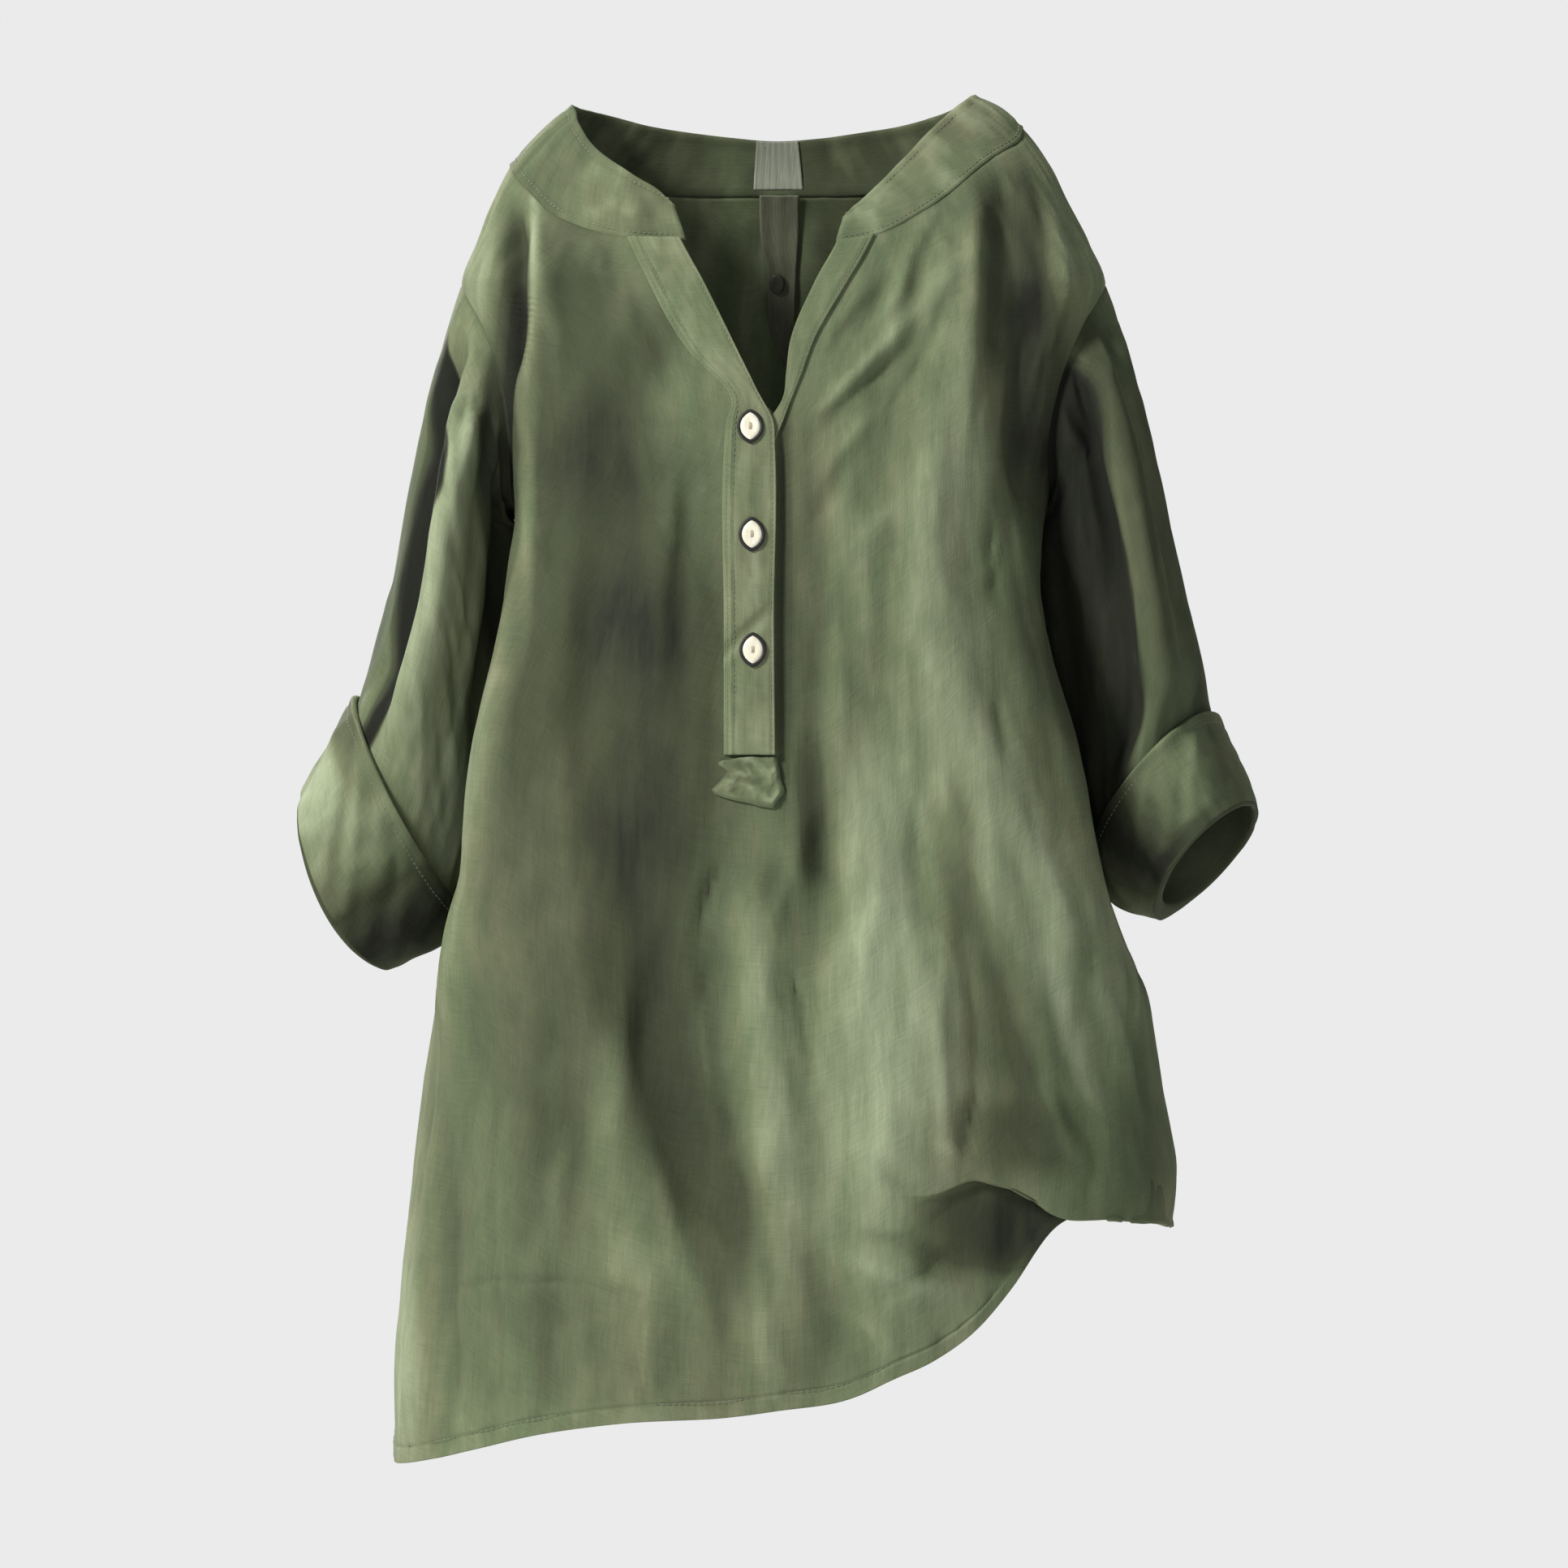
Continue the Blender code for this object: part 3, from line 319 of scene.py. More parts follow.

# ---------------------------------------------------------------- creases that only show up close, and painted light and shade

# Creases of the front and back panels: x and level of each end, width, height (a trough is below 0)
FRONT_CREASES = (
    (-29, -422, -45, -475, 2.1, -1.5), (12, -486, 22, -551, 2.1, -1.6), (-92, -190, -34, -193, 3, -0.6),
    (-133, -238, -131, -264, 2.6, 1.3), (-128, -242, -127, -270, 2.6, -1),
    # pulls fanning from the foot of the opening and from the right of the neck seam
    (9, -178, 60, -112, 4.5, -2), (15, -186, 72, -128, 4.5, 1.8), (24, -196, 84, -140, 4, -1.4),
    (44, -164, 104, -96, 5.5, 1.6), (38, -150, 66, -104, 3.5, -1.3), (78, -84, 50, -146, 4.5, 1.5),
    (95, -66, 78, -150, 5.5, -1.8), (112, -56, 106, -160, 6.5, 2), (126, -50, 122, -190, 6, -2.2),
    (66, -176, 96, -118, 3.5, -1.2), (30, -214, 66, -176, 5, 1.2), (140, -48, 148, -120, 7, 2.5),
    # soft drops under the left of the neck seam
    (-118, -76, -108, -168, 7, -2.2), (-100, -90, -90, -170, 6, 1.8), (-131, -64, -122, -142, 5.5, 1.9),
    (-82, -104, -60, -168, 5, -1.4), (-110, -150, -102, -260, 9, 1.4), (-72, -100, -58, -140, 3, 1),
    # chest
    (-80, -205, -86, -266, 10, -1.6), (-45, -214, -49, -362, 7, -1.6), (-62, -240, -70, -350, 8, 1.4),
    (-131, -246, -130, -260, 2.6, 1.7), (-133, -252, -127, -268, 2.4, -1.3), (22, -246, 48, -204, 5, -1.3),
    (40, -262, 74, -226, 6, 1.2), (119, -238, 124, -288, 3.4, -1.7), (124, -252, 118, -276, 2.4, 1.2),
    (124, -340, 130, -374, 3.2, -1.3), (60, -290, 52, -372, 9, -1.2), (36, -300, 30, -380, 6, 1),
    (92, -200, 96, -300, 8, 1.5), (-108, -290, -112, -370, 8, -1.6), (-88, -300, -92, -390, 6, 1.3),
    # left edge of the body
    (-141, -104, -142, -236, 4.5, 2.4), (-146, -228, -170, -406, 6, 2.4), (-171, -396, -196, -560, 6.5, 1.8),
    (-134, -120, -136, -250, 5, -1.5),
    # under the tab and down the middle
    (-2, -408, 10, -470, 8, -3), (30, -400, 26, -452, 6.5, -2.4), (10, -412, -2, -470, 4, 1.8),
    (-29, -433, -45, -470, 2.2, -1.6), (-40, -438, -52, -480, 3.2, 1.2), (-37, -492, -50, -524, 3.6, -1.3),
    (3, -486, 6, -514, 1.8, -1.2), (9, -496, 22, -554, 1.9, -1.9), (14, -500, 28, -556, 2.6, 1),
    (-46, -500, -36, -560, 5, 1.8), (-30, -560, -22, -640, 7, -2), (-60, -470, -76, -560, 7.5, -2.2),
    (-84, -470, -92, -590, 6, 1.8), (56, -450, 44, -540, 8, 1.8), (96, -470, 98, -610, 4, 1.6),
    (104, -480, 106, -606, 4.6, -1.2), (118, -440, 150, -556, 8, 2.2), (134, -430, 168, -560, 7, -2),
    (146, -420, 178, -540, 6, 1.6), (78, -410, 90, -470, 6, -2), (90, -384, 104, -440, 5, 1.4),
    # lower left
    (-156, -566, -152, -700, 1.8, -1.3), (-150, -560, -147, -690, 3, 0.8), (-182, -680, -188, -764, 3.6, -2.6),
    (-176, -676, -180, -760, 4.5, 1.2), (-182, -672, -154, -666, 1.5, -1.1),
    (-154, -666, -108, -666, 1.5, -1.3), (-108, -666, -70, -673, 1.5, -1),
    (-213, -700, -204, -724, 1.8, -1.4), (-206, -690, -209, -712, 1.8, 1),
    (-216, -736, -208, -736, 1.3, -1.2), (-196, -655, -191, -656, 1.4, -1), (-77, -708, -70, -740, 2.4, -1.7),
    (-84, -704, -78, -738, 3, 1.1), (-128, -690, -124, -742, 5, -1.6), (-106, -684, -100, -740, 4.5, 1.5),
    (-130, -560, -140, -650, 6, -1.6), (-112, -580, -120, -660, 5, 1.5), (-66, -600, -44, -690, 6, 1.8),
    (-40, -640, -20, -720, 6, -1.9), (-10, -650, 4, -726, 6.5, 1.7),
    # lower right, where the tuck pulls
    (48, -640, 108, -664, 5.5, -2.6), (40, -652, 100, -676, 5, 2), (58, -676, 98, -652, 4, -1.6),
    (30, -680, 70, -706, 5, 1.3), (60, -600, 84, -622, 6, -2.2), (90, -590, 112, -604, 4, 1.4),
    (112, -560, 104, -600, 3, -1.3), (170, -480, 190, -580, 6, -1.8), (180, -500, 204, -600, 6.5, 2),
    (150, -560, 176, -606, 5.5, 1.8), (196, -560, 214, -620, 4.5, -1.4),
)
# Painted light and shade over the front, shade below 0: x and level of the middle, half width and half
# height, lean, strength
FRONT_PAINTED_SHADING = (
    (-112, -84, 22, 40, 0, -1.9), (-108, -170, 34, 64, 0, -2.5), (-72, -150, 22, 50, 0.5, -1.4),
    (-78, -258, 40, 70, 0, -2.5), (-70, -356, 46, 86, 0, -3.7), (-134, -296, 20, 96, 0.16, -2.3),
    (-138, -400, 26, 70, 0.14, -1.7), (-60, -520, 31, 105, -0.2, -2.3), (-130, -540, 32, 90, 0, -1.7),
    (-160, -450, 16, 90, 0.1, -1.2), (-98, -470, 14, 70, 0, -1), (-138, -660, 24, 40, 0, -1.2),
    (-182, -620, 14, 66, 0, -0.8), (-112, -704, 54, 36, 0, -0.8), (-20, -642, 16, 36, 0, -1.7),
    (-130, -560, 60, 190, 0.1, -0.4), (-26, -700, 50, 30, 0, -0.5), (132, -588, 44, 22, -0.2, -1.7),
    (206, -592, 18, 56, 0, -0.9), (144, -86, 8.5, 44, -0.1, -3.6), (150, -166, 17, 56, -0.05, -3.7),
    (170, -258, 17, 70, -0.22, -3.2), (190, -372, 20, 70, -0.25, -5.4), (112, -250, 10, 70, 0, 0.7),
    (118, -116, 12, 50, 0, -1.1), (134, -550, 26, 76, -0.2, -0.5), (132, -525, 11, 80, -0.3, -2.1),
    (165, -525, 8, 50, -0.4, 1.5), (152, -350, 20, 100, -0.24, -1.8), (128, -92, 14, 50, 0, -0.9),
    (-150, -176, 10, 58, 0.05, -5), (-149, -98, 8, 34, 0, -2.2), (-156, -260, 9, 80, 0.14, -3.8),
    (-168, -104, 7, 60, 0.14, 0.9), (-137, -160, 3.5, 130, 0.02, 2.2), (-60, -450, 30, 60, 0, -0.8),
    (4.5, -280, 4.5, 118, 0, -3.4), (17, -300, 11, 110, 0, -1.5), (66, -490, 34, 125, 0, 1.2),
    (-208, -700, 7, 70, 0, 1.2), (112, -460, 9, 60, 0, 0.4), (-168, -330, 4, 100, 0.18, 1.2),
    (30, -340, 14, 70, 0, -0.6), (20, -405, 8, 36, 0, -2.4), (100, -438, 12, 46, 0, -1.7),
    (118, -62, 12, 22, 0, -1.5),
)
# The same painted light and shade over the back, darkest inside the neck
BACK_PAINTED_SHADING = (
    (36, -90, 34, 62, 0, -1.7), (-70, -330, 16, 120, 0.05, -0.9), (64, -420, 18, 130, -0.08, -0.9),
    (0, -560, 14, 110, 0, -0.7), (-126, -500, 16, 120, 0.08, -0.9), (140, -380, 14, 110, -0.2, -0.9),
    (-30, -240, 10, 90, 0, 0.6), (100, -300, 10, 100, -0.1, 0.6), (24, -640, 10, 60, 0, 0.6),
)
# The same, a painted shadow of the tuck over the layer that lies under it
TUCK_PAINTED_SHADOW = ((122, -638, 34, 24, 0, -4.6), (150, -628, 14, 30, 0, -2))
# Painted light and shade over the sleeves: angle and share along of the middle, half angle and half share,
# lean, strength
SLEEVE_PAINTED_SHADING = {
    -1: (
        (78, 0.22, 10, 0.14, 0, 0.8), (66, 0.5, 5, 0.4, -16, 0.7), (120, 0.62, 24, 0.16, 0, 1.1),
        (8, 0.6, 14, 0.5, 10, -1.9), (300, 0.4, 30, 0.5, 0, -0.8), (230, 0.5, 30, 0.5, 0, -1),
        (120, 0.84, 26, 0.05, 0, -1.2), (138, 0.72, 28, 0.14, 0, 2.2),
    ),
    1: (
        (14, 0.5, 22, 0.5, 16, -2.6), (58, 0.4, 14, 0.5, 22, -2.2), (40, 0.06, 12, 0.1, 0, -1),
        (50, 0.5, 20, 0.5, 10, -0.7), (300, 0.4, 30, 0.5, 0, -0.8), (230, 0.5, 30, 0.5, 0, -1),
    ),
}
# Where the side of each sleeve that lies in the body's shade begins, painted darker: share along, angle
SLEEVE_SHADED_FROM = {
    -1: (
        (0, 60), (0.1, 72), (0.2, 86), (0.3, 100), (0.4, 118), (0.5, 146), (0.6, 164), (0.7, 172),
        (0.78, 168), (0.84, 158),
    ),
    1: ((0, 66), (0.1, 58), (0.2, 62), (0.3, 70), (0.4, 76), (0.5, 78), (0.6, 79), (0.7, 81), (0.84, 90)),
}
# How strong that painted shade is, at the armhole and at the cuff
SLEEVE_SHADE = {-1: (3.8, 3.8), 1: (7.2, 4.6)}
# Painted shade in the long valley down the front of the left sleeve: share along, angles where it starts and
# ends
SLEEVE_VALLEY = (
    (0.06, 16, 17), (0.14, 15, 19), (0.22, 14, 38), (0.3, 18, 66), (0.36, 24, 70), (0.47, 21, 58),
    (0.6, 22, 56), (0.7, 31, 55), (0.8, 43, 56),
)
VALLEY_SHADE = 7.6
# Painted light and shade over the cuffs: angle and share down of the middle, half angle and half share, lean,
# strength
CUFF_PAINTED_SHADING = {
    -1: (
        (146, 0.6, 30, 0.8, 0, -5.4), (24, 0.12, 34, 0.3, 0, -1.9), (50, 0.75, 28, 0.35, 0, 2),
        (90, 0.2, 16, 0.3, 0, 0.4),
    ),
    1: (
        (124, 0.4, 28, 0.8, 0, -5.4), (70, 0.35, 12, 0.5, 0, 0.1), (26, 0.5, 24, 0.7, 0, -1.2),
        (90, 0.95, 40, 0.1, 0, -2.5),
    ),
}
# Large soft drops of the front that the creases lie on
FRONT_DROPS = (
    (-147, -58, -146, -150, 6, -11), (-146, -140, -152, -245, 6.5, -12), (-138, -56, -135, -150, 5, 3.5),
    (-135, -140, -142, -250, 5, 4.5), (-141, -240, -168, -400, 7, 2.5), (130, -56, 141, -150, 10, -7),
    (141, -140, 146, -245, 9, -8), (146, -44, 164, -130, 6.5, 4.5),
    (112, -60, 112, -260, 10, 3.5), (-80, -425, -34, -655, 20, -7.5), (-112, -400, -84, -640, 16, 3.5),
    (60, -380, 64, -660, 19, 5.5), (116, -430, 142, -606, 18, -2), (84, -262, 160, -540, 15, 2.5),
    (150, -235, 170, -380, 11, -4), (26, -398, 30, -480, 11, -4), (-6, -470, 6, -640, 13, 4),
    (-206, -600, -213, -764, 8, 3), (-188, -560, -196, -764, 7, -3.5), (-64, -610, -74, -740, 14, 3),
    (16, -640, 40, -720, 12, -4.5), (-100, -210, -96, -400, 14, -3), (-52, -210, -56, -400, 9, 2),
    (38, -220, 42, -390, 12, 2.5), (96, -120, 92, -300, 12, 3), (60, -120, 62, -250, 11, -2.5),
    (190, -500, 214, -600, 8, -2), (150, -560, 160, -604, 9, 3),
)
BACK_DROPS = (
    (-40, -80, -52, -520, 15, -5), (36, -76, 52, -560, 15, -5), (0, -70, 0, -600, 14, 4),
    (-96, -110, -118, -560, 16, 5), (98, -110, 124, -560, 16, 5), (-74, -360, -86, -740, 12, -5),
    (78, -380, 92, -690, 12, -5), (-140, -240, -170, -620, 11, -6), (146, -240, 182, -580, 11, -6),
    (-24, -500, -30, -736, 12, 4), (30, -520, 34, -700, 12, 4), (-150, -80, -152, -230, 8, -7),
    (146, -80, 150, -240, 8, -7), (138, -70, 140, -230, 6.5, 3), (-141, -70, -142, -230, 6.5, 3),
    (-128, -560, -140, -750, 10, 3.5), (150, -520, 176, -612, 10, 3.5),
)
BACK_CREASES = (
    (-20, -60, -34, -180, 6, -1.8), (24, -58, 38, -190, 6.5, -2), (-58, -62, -74, -170, 6, 1.8),
    (60, -60, 82, -176, 6, 1.7), (-98, -60, -108, -150, 6, -1.7), (104, -58, 112, -160, 6, -1.8),
    (-6, -62, -4, -150, 4.5, 1.4), (-128, -80, -128, -220, 6, 1.8), (134, -80, 134, -220, 6, 1.7),
    (-112, -210, -60, -260, 6, -1.6), (110, -206, 64, -262, 6, -1.6), (-100, -230, -56, -290, 5, 1.3),
    (98, -232, 50, -292, 5, 1.4), (-30, -250, -28, -400, 8, -1.8), (22, -260, 30, -420, 7, 1.7),
    (70, -300, 84, -470, 8, -1.9), (-74, -310, -80, -460, 8, 1.8), (-120, -300, -134, -470, 7, -1.8),
    (122, -310, 146, -480, 7, 1.8), (-150, -330, -170, -500, 6, 1.8), (154, -330, 186, -520, 6, -1.8),
    (-10, -470, -20, -640, 8, 1.9), (30, -480, 36, -660, 8, -2), (-60, -500, -70, -690, 7, -2),
    (86, -500, 100, -640, 7, 1.9), (-100, -520, -116, -720, 7, 1.9), (-150, -560, -160, -740, 6, -1.8),
    (130, -520, 158, -612, 6, -2), (-40, -660, -30, -730, 4, -1.4), (16, -670, 12, -728, 4, 1.3),
    (-84, -640, -80, -700, 3, -1.3), (56, -640, 84, -676, 4.5, -1.8), (-186, -600, -194, -740, 5, 1.6),
    (180, -520, 206, -600, 6, 1.8), (4, -200, 60, -232, 5, 1.1), (-14, -196, -66, -226, 5, 1.1),
)
# Creases of the sleeves: angle and share along of each end, width, height
SLEEVE_CREASES = {
    -1: (
        (38, 0.1, 40, 0.8, 12, -4), (80, 0.2, 66, 0.8, 8, 4), (150, 0.04, 152, 0.8, 14, -5),
        (222, 0.04, 226, 0.8, 14, -5), (304, 0.05, 306, 0.8, 12, -5), (270, 0.05, 272, 0.8, 12, 3.5),
        (18, 0.04, 22, 0.3, 7, 2), (52, 0.05, 60, 0.34, 8, 2.2), (66, 0.16, 74, 0.3, 5, -1.8),
        (60, 0.3, 72, 0.4, 4, -2), (70, 0.28, 86, 0.44, 4, 1.5), (96, 0.04, 104, 0.42, 8, -2.2),
        (112, 0.05, 120, 0.4, 7, 2), (84, 0.48, 120, 0.58, 5, 1.4), (80, 0.55, 124, 0.66, 5, -1.6),
        (90, 0.62, 132, 0.72, 4.5, 1.4), (98, 0.68, 140, 0.78, 4.5, -1.7), (74, 0.66, 104, 0.76, 4, 1.2),
        (100, 0.74, 150, 0.82, 4, -1.4), (22, 0.4, 26, 0.76, 6, 1.4), (8, 0.5, 10, 0.8, 5, -1.2),
        (54, 0.6, 58, 0.8, 5, -1.4), (150, 0.1, 156, 0.6, 9, -2), (196, 0.08, 206, 0.5, 9, 2),
        (236, 0.1, 240, 0.7, 9, -2), (286, 0.05, 290, 0.6, 9, -2.2), (336, 0.05, 340, 0.66, 8, 1.8),
        (250, 0.55, 288, 0.72, 6, 1.6), (262, 0.62, 306, 0.78, 5, -1.6), (300, 0.4, 322, 0.56, 5, 1.3),
        (180, 0.5, 214, 0.66, 6, -1.4), (344, 0.56, 352, 0.8, 5, -1.2),
    ),
    1: (
        (48, 0, 68, 0.84, 8, 3.5), (32, 0, 40, 0.84, 6, -2.5), (62, -0.02, 84, 0.2, 5, -4),
        (84, 0.04, 92, 0.84, 9, -5), (140, 0.04, 146, 0.8, 16, -5), (222, 0.04, 226, 0.8, 14, -5),
        (304, 0.05, 306, 0.8, 12, -5), (270, 0.05, 272, 0.8, 12, 3.5),
        (14, 0.02, 18, 0.5, 6, 2), (26, 0.02, 30, 0.26, 5, -2), (36, 0.01, 42, 0.16, 4, 1.9),
        (50, 0.02, 58, 0.62, 7, -2.2), (64, 0.02, 70, 0.22, 5, 1.8), (98, 0.04, 104, 0.5, 8, 2),
        (6, 0.46, 12, 0.8, 6, -1.5), (22, 0.6, 34, 0.8, 5, 1.4), (10, 0.76, 40, 0.82, 3.5, -1.5),
        (70, 0.52, 96, 0.68, 6, 1.6), (84, 0.6, 120, 0.76, 6, -1.6), (128, 0.1, 136, 0.6, 8, -2),
        (170, 0.1, 176, 0.6, 9, 1.8), (206, 0.08, 214, 0.5, 9, 2), (240, 0.1, 246, 0.7, 9, -2),
        (284, 0.04, 290, 0.6, 9, -2.2), (330, 0.03, 336, 0.6, 8, 1.8), (346, 0.04, 350, 0.4, 6, -1.6),
        (254, 0.55, 296, 0.74, 6, 1.6), (300, 0.62, 330, 0.78, 5, -1.4), (310, 0.4, 334, 0.54, 5, 1.3),
    ),
}
# Creases of the turned-up cuffs: angle and share from the top edge down of each end, width, height
CUFF_CREASES = {
    -1: (
        (20, 0.2, 60, 0.85, 8, 1.2), (44, 0.1, 92, 0.8, 7, -1.5), (70, 0.3, 120, 0.95, 8, 1.3),
        (100, 0.1, 136, 0.7, 7, -1.4), (0, 0.3, 30, 0.95, 7, -1.3), (130, 0.4, 168, 0.95, 8, 1.2),
        (200, 0.1, 236, 0.8, 8, 1.4), (230, 0.2, 270, 0.9, 8, -1.4), (280, 0.1, 310, 0.8, 8, 1.3),
        (320, 0.2, 350, 0.9, 8, -1.3), (84, 0.02, 88, 0.3, 5, 1), (150, 0.05, 156, 0.45, 6, -1.1),
    ),
    1: (
        (10, 0.1, 40, 0.9, 9, -1.4), (36, 0.1, 70, 0.7, 8, 1.6), (60, 0.4, 100, 0.98, 7, -1.6),
        (84, 0.2, 130, 0.8, 8, 1.5), (110, 0.5, 140, 1, 6, -1.5), (130, 0.1, 170, 0.7, 8, 1.3),
        (190, 0.2, 230, 0.9, 8, -1.4), (236, 0.1, 270, 0.8, 8, 1.4), (286, 0.2, 316, 0.9, 8, -1.4),
        (330, 0.1, 356, 0.8, 8, 1.3), (20, 0.02, 24, 0.3, 5, -1), (96, 0.7, 120, 1, 5, 1.2),
    ),
}

# ---------------------------------------------------------------- values of the making

# Thickness of the cloth, height of the sewn hem, how far a sleeve's seam lies under the panels
SHELL = 1.1
HEM_BAND = 9.0
SEAM_TUCKED = 1.3
WELD = 0.00001
FAR_FROM_HEM = 99.0
# Creases: how far they bend, how far they reach past their ends and over what share of their length they fade
CLOSED_BEND, OPEN_BEND, BEND_TURN = 0.12, 0.06, 2.4
CLOSED_REACH, OPEN_REACH, CREASE_FADE = 0.25, 0.22, 0.35
# How much relief in millimetres gives a full painted highlight on a ridge, and full painted shade in a trough
SHADING_PER_FOLD, SHADING_PER_DROP, SHADING_PER_CREASE, SHADING_PER_EDGE, SHADING_PER_PUCKER = 11, 7, 5, 3, 4
# Seed, creases, drops and painted light and shade of each panel
FRONT_RELIEF = (21, FRONT_CREASES, FRONT_DROPS, FRONT_PAINTED_SHADING)
BACK_RELIEF = (34, BACK_CREASES, BACK_DROPS, BACK_PAINTED_SHADING)
# Rows of the panels from each named level to the next, and the closer rows at the two ends of the armhole
ROWS_BY_PART = (22, 24, 20, 84, 30)
SHOULDER_ROWS = (0, 0.004, 0.01, 0.018, 0.028, 0.04, 0.055, 0.072, 0.09, 0.11)
UNDERARM_ROWS = (0.935, 0.95, 0.963, 0.974, 0.984, 0.992, 0.997)
PANEL_MM_A_DEGREE = 2.8
SLEEVE_COLUMNS = 168
CUFF_ROWS = 22
ROLL_LOOPS = 7
SLEEVE_LONG = 250.0
CUFF_LONG = 90.0
# How much fuller the sleeve and the cuff stand on the side of the body
SLEEVE_FULLER = 8.0
CUFF_FULLER = 6.0
# Cuff: bulge by share down, share of its seam, painted shade inside it
CUFF_BULGE = ((0, 0.25, 0.5, 0.78, 1), (0.4, 1.1, 1.4, 1.0, 0.0))
CUFF_SEAM = 0.1
INSIDE_CUFF_SHADE = -2.6
# Rumpling: height, cells across and down, seed and, on a closed sheet, how many cells go round
LATTICE = 64
PANEL_RUMPLES = ((1.5, 15, 95, 0), (0.8, 8, 42, 1), (0.32, 4.5, 14, 2), (1.0, 40, 60, 3))
HEM_PUCKER = ((1.6, 4, 30, 4),)
SLEEVE_RUMPLES = ((1.2, 15, 62, 55, 24), (0.7, 7.5, 28, 65, 48), (0.3, 5.625, 9, 75, 64))
CUFF_RUMPLES = ((1.1, 15, 40, 85, 24), (0.6, 7.5, 16, 95, 48))
BAND_RUMPLES = ((0.75, 9, 22, 111), (0.35, 3.6, 12, 112))
BAND_END_RUMPLE = ((0.9, 9, 6, 113),)
UPPER_RUMPLES = ((0.35, 6, 26, 121), (0.16, 2.6, 7, 122))
FACING_RUMPLE = ((0.22, 5, 18, 131),)
TAB_RUMPLES = ((0.8, 7, 5, 141), (0.4, 3, 3, 144))
TAPE_RUMPLE = ((0.1, 4, 6, 151),)
TAIL_RUMPLE = ((0.3, 6, 12, 161),)
# Placket and tape: thickness of each, height of the tab's pile and of the facing, how far inside the tape lies
STRIP_CLOTH = 1.1
TAB_CLOTH = 1.0
TAPE_CLOTH = 0.6
TAB_PILE = 3.0
FACING_HEIGHT = 1.8
TAPE_INSET = 2.65
# Seams of the upper strip: share across, depth, width, height of the thread
UPPER_SEAMS = ((0.07, 0.4, 0.03, -0.25), (0.2, 0.45, 0.035, -0.25), (0.93, 0.35, 0.025, -0.2))
# Seams of the facing and of the band: share across
FACING_SEAMS = (0.1, 0.88)
BAND_SEAMS = (0.07, 0.9)
# Buttons: share of the half width and height over the foot, from the rim to the middle
BUTTON_CROWN = (
    (1.0, 0.1), (1.0, 0.9), (0.96, 1.35), (0.88, 1.7), (0.74, 1.95), (0.56, 1.95), (0.4, 1.8), (0.25, 1.72),
    (0.12, 1.7), (0.0, 1.7),
)
SPARE_CROWN = (
    (1.0, 0.0), (1.0, 0.6), (0.94, 1.0), (0.82, 1.3), (0.6, 1.3), (0.4, 1.05), (0.2, 0.95), (0.0, 0.95),
)
OVAL_POINTS = 56
# Half width and half height of rim and face, and how strongly their ends draw to a point
RIM_OVAL = ((6.5, 8.5), 1.35)
FACE_OVAL = ((5.7, 8.0), 1.5)
# Heights of the buttons' feet over the cloth, half thicknesses of the threads
BUTTON_HEIGHT = 4.35
SPARE_HEIGHT = 3.1
BUTTON_THREAD = 0.42
SEWING_THREAD = 0.24
# Rings of a stitch: share along, size, how far it is raised
STITCH_RINGS = ((0.0, 0.25, -0.35), (0.12, 0.8, 0.0), (0.5, 1.0, 0.12), (0.88, 0.8, 0.0), (1.0, 0.25, -0.35))
STITCH_SIDES = 6
# Tones of the cloth
COOL_OLIVE = (0.117, 0.149, 0.08, 1)
WARM_OLIVE = (0.128, 0.133, 0.077, 1)
# Pale tone of the painted highlights on standing folds, also of the paler random mottling
HIGHLIGHT_AND_PALE_OLIVE = (0.25, 0.287, 0.183, 1)
# Tones of painted shade: the painted shading below which each begins, its strength, the tone
PAINTED_SHADE_TONES = (
    (0.02, 0.88, (0.036, 0.042, 0.0235, 1)),
    (-1.15, 0.9, (0.0188, 0.0206, 0.0145, 1)),
    (-1.9, 0.8, (0.0072, 0.0078, 0.006, 1)),
)
# Two tones of each smaller finish
TONES = {
    "pale_tape": ((0.13, 0.145, 0.105, 1), (0.22, 0.235, 0.185, 1)),
    "dark_tape": ((0.062, 0.066, 0.04, 1), (0.125, 0.132, 0.082, 1)),
    "cream_shell": ((0.7, 0.68, 0.57, 1), (0.52, 0.48, 0.34, 1)),
    "dark_resin": ((0.006, 0.006, 0.006, 1), (0.014, 0.014, 0.012, 1)),
    "olive_resin": ((0.032, 0.034, 0.022, 1), (0.06, 0.062, 0.042, 1)),
    "beige_thread": ((0.2, 0.16, 0.1, 1), (0.5, 0.42, 0.28, 1)),
    "green_thread": ((0.075, 0.09, 0.05, 1), (0.17, 0.2, 0.115, 1)),
}
SIDES = (("left", -1), ("right", 1))
# Floor, camera and light in metres, watts and linear colours
FLOOR_RADIUS = 4.2
FLOOR_Z = -1.15
CAMERA_PLACE = (0.005, -7.0, -0.39)
CAMERA_LENS = 283.5
LAMPS_AIM = (0.0, 0.0, -0.36)
LAMPS = (
    ("key_light", (-2.7, -2.4, 1.7), 0.9, 236, (1.0, 0.995, 0.97)),
    ("front_light", (0.4, -3.6, 0.3), 1.8, 14, (1.0, 1.0, 1.0)),
    ("top_light", (-0.4, 0.2, 2.6), 1.5, 40, (0.98, 0.99, 1.0)),
    ("right_light", (2.8, -1.0, 0.3), 1.4, 12, (0.96, 0.98, 1.0)),
    ("back_light", (-1.4, 3.2, 1.4), 1.5, 150, (1.0, 1.0, 1.0)),
)
SEEN_GREY = (0.83, 0.83, 0.83, 1)
LIGHT_GREY = (0.11, 0.11, 0.113, 1)


# ---------------------------------------------------------------- curves and surfaces

